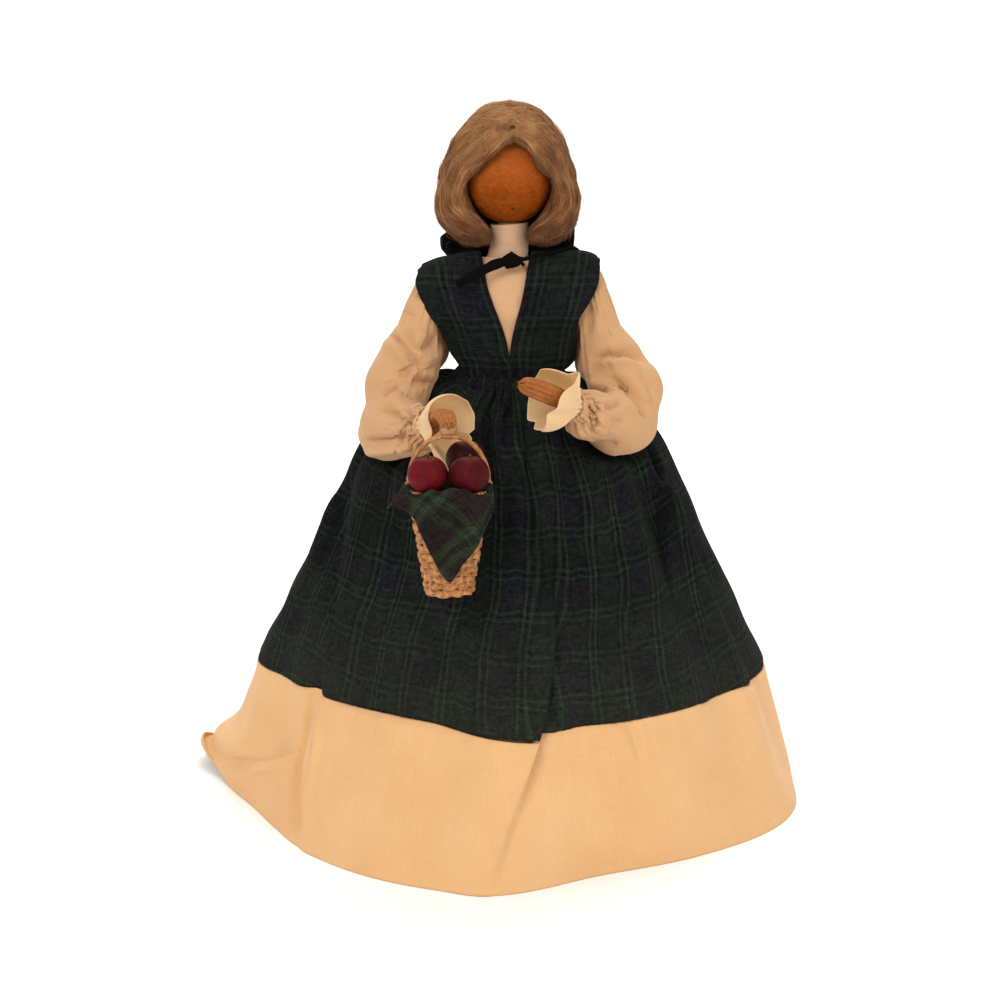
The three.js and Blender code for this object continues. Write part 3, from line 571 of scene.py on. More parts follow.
def stained_wood(name, dark, mid, light, grain=(0.10, 0.10, 0.9), rough=0.42, coat=0.25, pores=0.5, top=None, shine=0.3):
    M = Mat(name, Specular_IOR_Level=shine, Coat_Weight=coat, Coat_Roughness=0.28)
    pos, x, y, z = M.place()
    g = M.noise(M.scaled(pos, *grain), 1.6, 5.0, 0.62, 0.6)
    fine = M.noise(M.scaled(pos, grain[0] * 9, grain[1] * 9, grain[2] * 3.0), 1.2, 3.0, 0.6)
    mott = M.noise(pos, 0.11, 3.0, 0.55)
    t = M.math("ADD", M.math("MULTIPLY", g, 0.6), M.math("MULTIPLY", mott, 0.4))
    base = M.ramp(t, [(0.28, lin(*dark)), (0.5, lin(*mid)), (0.72, lin(*light))])
    spots = M.gray(M.cells(pos, 1.1), [(0.0, 1.0), (0.16, 0.55), (0.3, 0.0)])
    keep = M.gray(M.noise(pos, 0.5, 1.0), [(0.45, 0.0), (0.62, 1.0)])
    base = M.mix(M.math("MULTIPLY", M.math("MULTIPLY", spots, keep), pores), base, lin(*[c * 0.55 for c in dark]))
    base = M.mix(M.math("MULTIPLY", M.gray(fine, [(0.4, 1.0), (0.6, 0.0)]), 0.18), base, lin(*[c * 0.7 for c in dark]))
    if top:
        colour, z0, z1 = top
        f = M.math("MULTIPLY", M.math("DIVIDE", M.math("SUBTRACT", z, z0), z1 - z0, clamp=True), 0.55)
        base = M.mix(f, base, lin(*colour))
    M.color(base)
    M.rough(M.gray(mott, [(0.3, rough - 0.07), (0.7, rough + 0.1)]))
    M.normal(M.bump(M.math("ADD", M.math("MULTIPLY", fine, 0.6), M.math("MULTIPLY", spots, -0.25)), 0.22, 0.18))
    return M.m


def straw_material(name="straw"):
    M = Mat(name, Roughness=0.6, Specular_IOR_Level=0.35, Sheen_Weight=0.05)
    vec, u, v = M.uv()
    pos, x, y, z = M.place()
    fibre = M.noise(M.join(M.math("MULTIPLY", u, 3.2), M.math("MULTIPLY", v, 0.35)), 1.0, 3.0, 0.6)
    patch = M.noise(pos, 0.42, 2.0, 0.5)
    t = M.math("ADD", M.math("MULTIPLY", fibre, 0.45), M.math("MULTIPLY", patch, 0.58), clamp=True)
    base = M.ramp(t, [(0.32, lin(98, 57, 20)), (0.5, lin(158, 102, 50)), (0.70, lin(208, 150, 92))])
    stain = M.gray(M.noise(pos, 0.5, 2.0), [(0.58, 0.0), (0.74, 0.6)])
    base = M.mix(stain, base, lin(96, 56, 22))
    M.color(base)
    M.normal(M.bump(fibre, 0.5, 0.2))
    return M.m


def apple_material(name, seed, body=(112, 16, 24), deep=(70, 8, 16)):
    M = Mat(name, Specular_IOR_Level=0.08, Coat_Weight=0.0)
    vec, u, v = M.uv()
    pos, x, y, z = M.place()
    shift = M.new("ShaderNodeVectorMath", operation="ADD")
    M.to(pos, shift.inputs[0])
    shift.inputs[1].default_value = (seed * 37.0, seed * 11.0, seed * 5.0)
    p = shift.outputs[0]
    streak = M.noise(M.join(M.math("MULTIPLY", u, 9.0), M.math("MULTIPLY", v, 1.2), seed * 3.1), 1.0, 3.0, 0.6)
    mott = M.noise(p, 0.25, 3.0, 0.6)
    t = M.math("ADD", M.math("MULTIPLY", streak, 0.5), M.math("MULTIPLY", mott, 0.5))
    base = M.ramp(t, [(0.32, lin(*deep)), (0.55, lin(*body)), (0.75, lin(body[0] + 26, body[1] + 12, body[2] + 12))])
    dots = M.gray(M.cells(p, 0.9), [(0.0, 1.0), (0.09, 0.6), (0.14, 0.0)])
    base = M.mix(M.math("MULTIPLY", dots, 0.16), base, lin(168, 84, 60))
    crown = M.gray(v, [(0.0, 1.0), (0.10, 0.75), (0.2, 0.0)])
    base = M.mix(M.math("MULTIPLY", crown, 0.75), base, lin(120, 66, 34))
    M.color(base)
    M.rough(M.gray(mott, [(0.3, 0.44), (0.7, 0.6)]))
    M.normal(M.bump(M.noise(p, 0.8, 2.0), 0.1, 0.2))
    return M.m


def cord_material():
    M = Mat("black_cord", Roughness=0.9, Sheen_Weight=0.0, Sheen_Roughness=0.4, Specular_IOR_Level=0.08)
    vec, u, v = M.uv()
    f = M.noise(M.join(M.math("MULTIPLY", u, 2.0), M.math("MULTIPLY", v, 1.2)), 1.0, 3.0, 0.6)
    ply = M.math("SINE", M.math("ADD", M.math("MULTIPLY", u, 5.0), M.math("MULTIPLY", v, 5.0)))
    M.color(M.mix(f, lin(3, 3, 3), lin(9, 8, 8)))
    M.normal(M.bump(M.math("ADD", M.math("MULTIPLY", ply, 0.4), f), 0.5, 0.15))
    return M.m


def thread_material(name="sewing_thread", dark=(196, 148, 96), light=(236, 198, 148)):
    M = Mat(name, Roughness=0.7, Sheen_Weight=0.2, Specular_IOR_Level=0.3)
    vec, u, v = M.uv()
    ply = M.math("SINE", M.math("ADD", M.math("MULTIPLY", u, 6.0), M.math("MULTIPLY", v, 9.0)))
    f = M.noise(M.join(M.math("MULTIPLY", u, 3.0), M.math("MULTIPLY", v, 2.0)), 1.0, 2.0)
    M.color(M.mix(M.math("ADD", M.math("MULTIPLY", ply, 0.2), M.math("MULTIPLY", f, 0.8)), lin(*dark), lin(*light)))
    M.normal(M.bump(ply, 0.6, 0.12))
    return M.m


def steel_material(name, tone, rough):
    M = Mat(name, Metallic=1.0, Specular_IOR_Level=0.5)
    pos, x, y, z = M.place()
    n = M.noise(M.scaled(pos, 3.0, 3.0, 0.6), 1.0, 3.0, 0.6)
    M.color(M.mix(n, lin(*[c * 0.7 for c in tone]), lin(*tone)))
    M.rough(M.gray(n, [(0.3, rough - 0.08), (0.7, rough + 0.12)]))
    M.normal(M.bump(n, 0.2, 0.05))
    return M.m


def fibre_material():
    M = Mat("stuffed_calico", Roughness=0.95, Sheen_Weight=0.2, Specular_IOR_Level=0.15)
    pos, x, y, z = M.place()
    n = M.noise(pos, 0.8, 4.0, 0.65)
    w = M.noise(pos, 0.12, 2.0, 0.5)
    M.color(M.mix(M.math("ADD", M.math("MULTIPLY", n, 0.6), M.math("MULTIPLY", w, 0.4)), lin(188, 160, 122), lin(232, 212, 180)))
    M.normal(M.bump(n, 0.5, 0.5))
    return M.m


MUSLIN = muslin_material("hem_muslin", tone=(232, 190, 139), shade=(213, 164, 111))
SLEEVE = muslin_material("sleeve_muslin", tone=(207, 163, 118), shade=(192, 146, 102), specks=False, pitch=0.5)
# painted light: the cuff muslin is a lighter copy of the sleeve muslin, to lift the shade inside the cuffs
CUFF = muslin_material("cuff_muslin", tone=(236, 195, 150), shade=(222, 179, 134), specks=False, pitch=0.5)
# thin single cloth, so that light comes through it
thin = next(n_ for n_ in CUFF.node_tree.nodes if n_.type == "BSDF_PRINCIPLED")
thin.inputs["Subsurface Weight"].default_value = 0.45
thin.inputs["Subsurface Radius"].default_value = (1.0, 0.7, 0.45)
thin.inputs["Subsurface Scale"].default_value = 0.0025
BLOUSE = muslin_material("blouse_muslin", tone=(216, 172, 132), shade=(204, 158, 118), specks=False, pitch=0.45)
NECK = muslin_material("neck_muslin", tone=(204, 168, 134), shade=(190, 152, 120), specks=False, pitch=0.45)
# the skirt's tartan is painted lighter towards the hem: painted light
TARTAN = tartan_material("tartan_cloth", painted_light_low=0.4)
TARTAN_B = tartan_material("tartan_bodice", tones=((27, 27, 37), (15, 16, 19), (25, 35, 29), (39, 57, 45)))
TARTAN_N = tartan_material("tartan_napkin", period=21.0, turn=math.radians(45), tones=((42, 31, 31), (31, 30, 24), (38, 47, 32), (52, 70, 46)), weft_share=0.5, broad=True, phase=(1.1, 4.4))
LINING = red_lining_material()
WOOL = wool_material()
HEAD_WOOD = stained_wood("head_wood", (102, 44, 5), (140, 67, 12), (168, 88, 26), grain=(0.30, 0.30, 0.42), rough=0.6, coat=0.0, top=((186, 98, 46), 268.0, 291.0), shine=0.05)
HAND_WOOD = stained_wood("hand_wood", (128, 70, 26), (162, 98, 46), (184, 120, 62), grain=(0.5, 0.25, 0.5), rough=0.6, coat=0.02, shine=0.16)
BASE_WOOD = stained_wood("base_wood", (150, 104, 58), (186, 138, 86), (208, 164, 112), grain=(0.05, 0.6, 0.6), rough=0.65, coat=0.0)
DOWEL_WOOD = stained_wood("dowel_wood", (168, 122, 72), (200, 156, 104), (220, 182, 132), grain=(0.7, 0.7, 0.05), rough=0.65, coat=0.0)
STEM_WOOD = stained_wood("stem_wood", (52, 30, 14), (84, 52, 26), (112, 74, 40), grain=(0.8, 0.8, 0.3), rough=0.6, coat=0.0)
STRAW = straw_material()
CORD = cord_material()
THREAD = thread_material()
TIE = thread_material("brown_thread", (150, 94, 46), (186, 126, 70))
WIRE = steel_material("arm_wire", (150, 150, 152), 0.4)
PIN = steel_material("pin_metal", (96, 58, 36), 0.45)
FIBRE = fibre_material()

RIDES = {}
for body, members in frame["record"]["behaviour"]["bodies"].items():
    for n in members:
        RIDES[n] = body


def stand_for(ob, slot_name, *nodes):
    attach(ob, RIDES[nodes[0]])
    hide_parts(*nodes)
    return ob


CAM_AT = np.array([-4.0, -850.0, 320.0])
CAM_UP = np.array([0.0, math.sin(math.radians(12.41886)), math.cos(math.radians(12.41886))])
CAM_FWD = np.array([0.0, math.cos(math.radians(12.41886)), -math.sin(math.radians(12.41886))])


def press_folds(P, n, folds):
    """Press fold lines into the side of a cloth that the camera sees."""
    v_ = P - CAM_AT
    depth_ = v_ @ CAM_FWD
    mm = depth_ / 1972.463
    px = np.stack([500 + v_[..., 0] / mm, 500 - (v_ @ CAM_UP) / mm], -1)
    seen = smooth(((n * unit(-v_)).sum(-1) + 0.05) / 0.35)
    total = np.zeros(P.shape[:2])
    for pts, deep, half, up in folds:
        line = spline(np.array([(x, y, 0.0) for x, y in pts]), 40)[:, :2] if len(pts) > 2 else np.linspace(pts[0], pts[1], 12)
        seg = np.diff(line, axis=0)
        best = np.full(P.shape[:2], 1e9)
        side_d = np.zeros(P.shape[:2])
        where_t = np.zeros(P.shape[:2])
        for i, (a_, s_) in enumerate(zip(line[:-1], seg)):
            rel = px - a_
            t_ = np.clip((rel @ s_) / (s_ @ s_), 0, 1)
            off = rel - t_[..., None] * s_
            dd = np.hypot(off[..., 0], off[..., 1])
            take = dd < best
            best = np.where(take, dd, best)
            side_d = np.where(take, np.sign(s_[0] * rel[..., 1] - s_[1] * rel[..., 0]), side_d)
            where_t = np.where(take, (i + t_) / len(seg), where_t)
        d_ = best * mm
        taper = smooth(where_t / 0.22) * smooth((1 - where_t) / 0.22) * 0.8 + 0.2
        valley = np.exp(-(d_ / half) ** 1.35)
        ridge = np.exp(-((d_ - 2.3 * half) / (1.3 * half)) ** 2)
        lean = 0.34 if up == 0 else np.where(side_d * up < 0, 0.62, 0.12)
        total = total + deep * taper * (lean * ridge - valley)
    return P + n * (total * seen)[..., None]


# ------------------------------------------------------------ skirt surface
SEAM_Z, PUFF_Z, WAIST_Z = 57.0, 166.0, 187.0
HEM_OUTLINE = [
    (-8, -124), (36, -104), (79, -83), (111, -57), (126, -30), (129.5, -6), (127, 25), (112, 62), (80, 94), (36, 112), (-15, 117),
    (-64, 110), (-107, 90), (-134, 60), (-142, 34), (-131, 5), (-115, -25), (-101, -52), (-87, -77), (-70, -95), (-52, -108), (-30, -118)]
SEAM_OUTLINE = [
    (2, -102.5), (30, -97), (56, -84), (84, -61), (104, -30), (114, 0), (113, 30), (100, 62), (75, 87), (38, 102), (0, 106),
    (-40, 103), (-78, 88), (-103, 62), (-114, 30), (-112, 0), (-98, -27), (-82, -47), (-61, -68), (-38, -84), (-18, -96)]


def outline(points):
    p = np.array(points, float)
    a, r = np.arctan2(p[:, 0], -p[:, 1]), np.hypot(p[:, 0], p[:, 1])
    o = np.argsort(a)
    a, r = a[o], r[o]
    A = np.concatenate([a[-2:] - TAU, a, a[:3] + TAU])
    R = np.concatenate([r[-2:], r, r[:3]])

    def f(q):
        q = (np.asarray(q, float) - a[0]) % TAU + a[0]
        i = np.clip(np.searchsorted(A, q, side="right") - 1, 1, len(A) - 3)
        a0, a1, a2, a3, r0, r1, r2, r3 = A[i - 1], A[i], A[i + 1], A[i + 2], R[i - 1], R[i], R[i + 1], R[i + 2]
        t = (q - a1) / (a2 - a1)
        m1, m2 = (r2 - r0) / (a2 - a0) * (a2 - a1), (r3 - r1) / (a3 - a1) * (a2 - a1)
        t2, t3 = t * t, t * t * t
        return (2 * t3 - 3 * t2 + 1) * r1 + (t3 - 2 * t2 + t) * m1 + (3 * t2 - 2 * t3) * r2 + (t3 - t2) * m2

    return f


hem_r, seam_r = outline(HEM_OUTLINE), outline(SEAM_OUTLINE)
wrap_q = lambda q: (np.asarray(q, float) + np.pi) % TAU - np.pi
puff_r = lambda q: tab([(0, 55), (30, 54), (55, 53.4), (75, 57), (92, 61), (112, 62), (150, 58), (180, 56)], np.degrees(np.abs(wrap_q(q))))
waist_r = lambda q: 1 / np.hypot(np.sin(q) / 27.0, np.cos(q) / 21.0)

ARMS = {
    "right": dict(S=(-32.5, 0, 229), E=(-51.5, -27, 171.5), W=(-33, -64, 178), ball=14.0),
    "left": dict(S=(33.5, 0, 229.5), E=(50, -27, 174.5), W=(25, -62, 186), ball=15.0),
}
for arm in ARMS.values():
    for k in "SEW":
        arm[k] = np.array(arm[k], float)
    arm["upper"], arm["fore"] = np.linalg.norm(arm["S"] - arm["E"]), np.linalg.norm(arm["W"] - arm["E"])
    arm["U"], arm["F"] = unit(arm["S"] - arm["E"]), unit(arm["W"] - arm["E"])
    arm["axis"] = unit(np.cross(arm["F"], arm["U"]))
ROOMS = []
for arm in ARMS.values():
    ROOMS.append((arm["E"], arm["ball"] + 3.4))
    for f in (0.3, 0.6):
        ROOMS.append((arm["E"] + arm["F"] * f * arm["fore"], arm["ball"] * (1 - 0.62 * f) + 3.4))
    for f in (0.2, 0.4):
        ROOMS.append((arm["E"] + arm["U"] * f * arm["upper"], arm["ball"] - 1.5 + 3.2 - 3 * f))
# and for the doll's left forearm at the lowest that it bends
arm, a = ARMS["left"], math.radians(12.5)
low = [arm["F"] * math.cos(b) + np.cross(arm["axis"], arm["F"]) * math.sin(b) for b in (a, -a)]
low = min(low, key=lambda d: d[2])
for f, room in ((0.06, 17.6), (0.2, 18.0), (0.4, 17.4), (0.6, 16.2), (0.8, 14.2)):
    ROOMS.append((arm["E"] + low * f * arm["fore"], room))


def skirt_r(q, z):
    """Radius of the skirt and hem by angle and height, and how much the arms press it in, 0 to 1."""
    q = wrap_q(q)
    hem, seam, puff, waist = hem_r(q), seam_r(q), puff_r(q), waist_r(q)
    lo = hem + (seam - hem) * np.clip(z / SEAM_Z, 0, 1)
    t2 = np.clip((z - SEAM_Z) / (PUFF_Z - SEAM_Z), 0, 1)
    mid = seam + (puff - seam) * t2 - 6.5 * smooth(1 - np.abs(q + 0.28) / 0.75) * np.sin(np.pi * t2)
    t3 = np.clip((z - PUFF_Z) / (WAIST_Z - PUFF_Z), 0, 1)
    hi = puff + (waist - puff) * t3 ** 1.5
    r = np.where(z <= SEAM_Z, lo, np.where(z <= PUFF_Z, mid, hi))
    d = np.stack([np.sin(q), -np.cos(q), np.zeros_like(q)], -1)
    best = np.full(np.shape(r), 1e3)
    for c, room in ROOMS:
        e = np.stack([np.broadcast_to(c[0], np.shape(r)), np.broadcast_to(c[1], np.shape(r)), c[2] - z + 0 * q], -1)
        m = (d * e).sum(-1)
        off = np.sqrt(np.maximum((e * e).sum(-1) - m * m, 0))
        x = np.where(off < room, m - np.sqrt(np.maximum(room * room - off * off, 0)), m + (off - room) * 7.0)
        best = np.minimum(best, np.where(m > 0, x, 1e3))
    k = 2.0
    low = -k * np.logaddexp(-r / k, -best / k)
    low = np.maximum(low, waist)
    return low, np.clip((r - low) / 6.0, 0, 1)


# Lines of the deep folds: angle by height, from the waist down to the floor.
FOLD_FRONT = [(0, -0.066), (24, 0.0), (44, 0.063), (57, 0.109), (78, 0.177), (100, 0.221), (133, 0.214), (166, 0.153), (190, 0.12)]
FOLD_LEFT = [(0, -0.86), (18, -0.915), (41, -0.955), (61, -0.992), (89, -1.099), (120, -1.25), (146, -1.42), (190, -1.5)]
FOLD_RIGHT = [(0, 0.80), (30, 0.84), (62, 0.90), (98, 0.985), (118, 1.06), (128, 1.13), (140, 1.24), (151, 1.38), (190, 1.5)]


FOLDS = (
    # line, side that laps over, step out, how far the cloth laps over itself, reach, hidden cloth
    (FOLD_FRONT, -1, [(0, 2.0), (30, 2.9), (57, 3.6), (85, 3.6), (105, 3.2), (130, 2.4), (165, 1.6), (184, 0.4)],
     [(0, 0.0), (22, 0.6), (40, 2.3), (57, 3.3), (80, 3.0), (105, 2.2), (125, 1.0), (150, 0.3), (190, 0.0)], 34, 5.0),
    (FOLD_LEFT, 1, [(0, 0.8), (30, 1.8), (57, 3.6), (100, 3.8), (140, 2.6), (165, 0.6)],
     [(0, 0.0), (30, 0.6), (57, 3.0), (100, 3.4), (140, 2.0), (165, 0.2)], 30, 8.0),
    (FOLD_RIGHT, 1, [(0, 0.0), (30, 0.1), (57, 0.3), (85, 1.0), (110, 2.8), (135, 3.8), (155, 2.4), (170, 0.4)],
     [(0, 0.0), (57, 0.0), (85, 0.4), (105, 1.6), (130, 2.6), (150, 1.4), (170, 0.2)], 34, 6.0))



def seam_step(q, z):
    """The part of the seam that lies on top at a fold hangs a little lower than the part under it."""
    q = wrap_q(q)
    r = skirt_r(q, z)[0]
    dz = np.zeros_like(q + z)
    for (line, side, *_), low, high in zip(FOLDS, (2.4, 1.7, 0.3), (1.3, 1.2, 0.2)):
        d = (q - tab(line, z)) * r * side
        edge = smooth((d + 1.6) / 3.2)
        dz = dz - low * edge * np.exp(-np.maximum(d, 0) / 34.0) + high * (1 - edge) * np.exp(np.minimum(d, 0) / 20.0)
    dz = dz + 3.0 * np.exp(-((q + 1.62) / 0.42) ** 2) - 1.6 * np.exp(-((q - 1.6) / 0.4) ** 2) + 1.3 * np.exp(-(q / 0.3) ** 2)
    dz = dz + 3.2 * smooth((q + 1.25) / 0.25) * smooth((-0.05 - q) / 0.30) + 3.4 * smooth((q - 0.05) / 0.30) * smooth((1.45 - q) / 0.35)
    return dz * np.exp(-np.abs(z - SEAM_Z) / 26.0)


def fold_steps(q, z):
    """Offset of the three lapped folds, their shift along the cloth and the cloth that they hide, in millimetres."""
    q = wrap_q(q)
    dr, hid, lap = np.zeros_like(q + z), np.zeros_like(q + z), np.zeros_like(q + z)
    r = skirt_r(q, z)[0]
    for line, side, amount, over, reach, hidden in FOLDS:
        d = (q - tab(line, z)) * r * side          # mm, positive on the side that laps over
        a = tab(amount, z)
        edge = smooth((d + 3.2) / 6.4)
        dr = dr + a * edge * np.exp(-np.maximum(d - 3, 0) / reach) - 0.35 * a * (1 - edge) * np.exp(np.minimum(d + 3, 0) / 12.0)
        hid = hid - side * hidden * smooth((a - 0.4) / 3.0) * (1 - edge)
        lap = lap - side * tab(over, z) * np.sin(np.pi * np.clip(d / 6.5, -1.4, 1.4)) * np.exp(-(d / 7.5) ** 2)
    return dr, hid, lap


def gathers(q, s, z):
    """Offset of the gathers below the waist, in millimetres; s is the length down from the waist."""
    w1 = 46 * q + 2.6 * ring_noise(q, 3, (3, 5, 7, 11)) + 0.02 * s * ring_noise(q, 31, (9, 13))
    w2 = 27 * q + 2.2 * ring_noise(q, 4, (2, 3, 5, 9)) + 0.012 * s * ring_noise(q, 32, (5, 7))
    w3 = 11 * q + 1.6 * ring_noise(q, 5, (1, 2, 3, 5))
    m1 = 0.6 + 0.5 * ring_noise(q, 6, (4, 7, 10))
    m2 = 0.75 + 0.5 * ring_noise(q, 7, (3, 5, 8))
    m3 = 0.75 + 0.5 * ring_noise(q, 8, (2, 3, 4))
    p1 = np.abs(np.cos(w1 / 2)) ** 1.1 - 0.6
    p2 = np.abs(np.cos(w2 / 2)) ** 1.3 - 0.52
    p3 = np.cos(w3)
    a1 = 2.7 * smooth(s / 6.0) * np.exp(-np.maximum(s - 12, 0) / 24.0)
    a2 = 3.3 * smooth(s / 17.0) * (0.26 + 0.74 * np.exp(-np.maximum(s - 40, 0) / 45.0))
    a3 = 2.0 * smooth((s - 16) / 60.0) * (0.35 + 0.65 * smooth((z - 2) / 60.0))
    a2 = a2 * (0.10 + 0.90 * smooth((z - 45) / 30.0))
    return a1 * m1 * p1 + a2 * m2 * p2 + a3 * m3 * p3


# The corner of the hem that is turned out at the doll's right.
TIP_Q = -1.806


def drape(q, z):
    """Points of the skirt and hem."""
    q = wrap_q(q)
    r, pressed = skirt_r(q, z)
    tip = np.exp(-((q - TIP_Q) / 0.20) ** 2)
    tipw = np.exp(-((q - TIP_Q - 0.22) / 0.42) ** 2)
    t = np.clip(z / SEAM_Z, 0, 1)
    below = z < SEAM_Z
    hem, seam = hem_r(q), seam_r(q)
    flare = seam + (hem - seam) * (1 - t) ** (1 + 0.3 * tipw)
    r = np.where(below, flare, r)
    return r, pressed, tip, tipw, t


def cloth_points(q, z, s):
    """Skirt and hem with gathers and folds; also UV shift and the offset used."""
    r, pressed, tip, tipw, t = drape(q, z)
    base = np.stack([r * np.sin(q), -r * np.cos(q), z + 0 * q], -1)
    n = grid_normals(base, closed=True)
    out = np.stack([np.sin(q), -np.cos(q), 0.2 + 0 * q], -1)
    n = n * np.sign((n * out).sum(-1, keepdims=True) + 1e-9)
    dr, hid, lap = fold_steps(q, z)
    g = gathers(q, s, z)
    room = 1 - 0.9 * pressed
    d = dr * room + np.where(g > 0, g * room, g * (1 - 0.5 * pressed))
    calm = smooth(np.maximum(z, 0) / 14.0) * 0.8 + 0.2     # the hem lies almost flat along the floor
    d = np.where(z < SEAM_Z, d * calm, d)
    along = np.stack([np.cos(q), np.sin(q), 0 * q], -1)
    P = base + n * d[..., None] + along * (lap * (1 - pressed))[..., None]
    return P, hid, tip, tipw, t


def skirt_rows(z):
    return np.asarray(z, float)[:, None]


QN = 720
qs = -np.pi + TAU * np.arange(QN) / QN
z_top = np.concatenate([np.linspace(190.6, 187.0, 10)[:-1], 187 - 21 * np.linspace(0, 1, 40)[:-1] ** 1.15])
z_low = np.linspace(166.0, SEAM_Z, 92)
zs = np.concatenate([z_top, z_low])
Q, Z = np.meshgrid(qs, zs)
r0 = skirt_r(Q, Z)[0]
B0 = np.stack([r0 * np.sin(Q), -r0 * np.cos(Q), Z], -1)
S = np.concatenate([np.zeros((1, QN)), np.cumsum(np.linalg.norm(np.diff(B0, axis=0), axis=-1), axis=0)], 0)
PS, HID, _, _, _ = cloth_points(Q, np.minimum(Z, 187.0), np.maximum(S - 3.6, 0))
PS[..., 2] += np.maximum(Z - 187.0, 0) + seam_step(Q, np.minimum(Z, 187.0))
# the gathered heading stands up round the lower edge of the bodice
head_k = smooth((Z - 181.0) / 5.5)
ring = 1 / np.hypot(np.sin(Q) / 26.6, np.cos(Q) / np.where(np.cos(Q) > 0, 24.6, 23.8))
ring = ring + 0.55 * np.cos(46 * Q + 2.6 * ring_noise(Q, 3, (3, 5, 7, 11))) - (0.28 + 1.15 * np.sin(Q) ** 2) * np.maximum(Z - 187, 0)
rw = np.hypot(PS[..., 0], PS[..., 1])
k = (rw + head_k * (ring - rw)) / rw
PS[..., 0] *= k
PS[..., 1] *= k
stand = 3.4 + 2.6 * smooth((np.abs(np.sin(Q)) - 0.30) / 0.60) + 0.5 * ring_noise(Q, 9, (13, 21, 34))
PS[..., 2] += np.maximum(Z - 187.0, 0) * (stand / 3.6 - 1)
PS += (Wob(11)(PS, 26.0) * 0.5 * smooth((187 - Z) / 15.0))[..., None] * unit(np.stack([np.sin(Q), -np.cos(Q), 0 * Q], -1))
# puffed up beside the waist
PS[..., 2] += 4.2 * np.exp(-((S - 15.0) / 8.5) ** 2) * smooth((np.abs(np.sin(Q)) - 0.45) / 0.4) * (0.85 + 0.25 * np.sin(23 * Q))
# the deepest of the pleats that show from the front, as they run in the camera's picture
SKIRT_LINES = [
    ([(489.0, 412.0), (489.4, 430.0), (490.0, 450.0), (491.0, 472.0)], 3.4, 2.3, 0),
    ([(510.0, 404.0), (507.6, 416.0), (506.0, 432.0), (504.5, 452.0)], 3.4, 2.0, 0),
    ([(525.0, 392.0), (525.8, 410.0), (524.5, 440.0), (526.5, 480.0), (530.0, 520.0), (536.0, 560.0)], 3.6, 2.4, 0),
    ([(560.0, 455.0), (566.0, 500.0), (572.0, 560.0), (578.0, 620.0)], 1.5, 3.4, 0),
    ([(606.0, 470.0), (613.0, 520.0), (622.0, 580.0), (632.0, 650.0)], 1.7, 3.6, 0),
    ([(648.0, 452.0), (652.0, 475.0), (655.0, 500.0), (660.0, 530.0), (666.0, 560.0)], 1.5, 3.4, 0),
    ([(350.0, 470.0), (341.0, 520.0), (334.0, 580.0), (328.0, 640.0)], 2.0, 3.0, -1),
    ([(440.0, 620.0), (436.0, 660.0), (425.0, 700.0)], 1.2, 4.0, 0),
]
nS = grid_normals(PS, closed=True)
nS = nS * np.sign((nS * np.stack([np.sin(Q), -np.cos(Q), 0.2 + 0 * Q], -1)).sum(-1, keepdims=True) + 1e-9)
PS = press_folds(PS, nS, SKIRT_LINES)
# turned in at the seam with the hem band
turn_in = 1 - smooth((Z - SEAM_Z) / 2.2)
pucker = 0.25 * np.sin(170 * Q) + 0.2 * np.sin(97 * Q + 1.0)
dirn = np.stack([np.sin(Q), -np.cos(Q), 0 * Q], -1)
PS -= dirn * (turn_in * 0.9)[..., None]
PS[..., 2] += pucker * turn_in * 0.6
V0 = np.concatenate([np.zeros((1, QN)), np.cumsum(np.linalg.norm(np.diff(PS, axis=0), axis=-1), axis=0)], 0)
V0 = 0.5 * V0 + 0.5 * V0.mean(1, keepdims=True)
qe = np.append(qs, np.pi)
mixr = 0.52 * 100.0 + 0.48 * np.append(r0, r0[:, :1], 1)
U0 = qe[None, :] * mixr + np.append(HID, HID[:, :1], 1)
U0 = U0 + 1.2 * ring_noise(qe, 21, (7, 11, 17))[None, :]
UVS = np.stack([U0 + 8.5, np.append(V0, V0[:, :1], 1) + 4.0], -1)
v, f, uv = grid_parts(PS, UVS, closed=True, flip=facing(PS, (0, 0, 120), True))
skirt = make("skirt_cloth", v, f, uv.reshape(-1, 2), [TARTAN])
thicken(skirt, 0.7)
stand_for(skirt, "tartan", "skirt")

zh = np.concatenate([np.linspace(SEAM_Z, SEAM_Z - 4, 6)[:-1], np.linspace(SEAM_Z - 4, 4, 38)[:-1], np.linspace(4, 0.08, 6)])
QH, ZH = np.meshgrid(qs, zh)
s_seam = float(S[-1].mean())
PH, HIDH, TIP, TIPW, TT = cloth_points(QH, ZH, s_seam + (SEAM_Z - ZH))
outh = np.stack([np.sin(QH), -np.cos(QH), 0 * QH], -1)
PH[..., 2] += seam_step(QH, ZH) * smooth(ZH / 25.0)
tin = 1 - smooth((SEAM_Z - ZH) / 2.4)
PH -= outh * (tin * 0.9)[..., None]
PH[..., 2] -= 0.35 * tin
# soft puckers under the seam and a gentle unevenness
PH += outh * (0.35 * np.sin(61 * QH + ring_noise(QH, 41, (3, 5))) * np.exp(-(SEAM_Z - ZH) / 9.0) * (1 - tin))[..., None]
PH += outh * (Wob(12)(PH, 60.0) * 0.7 * smooth(ZH / 10.0) * (1 - tin))[..., None]
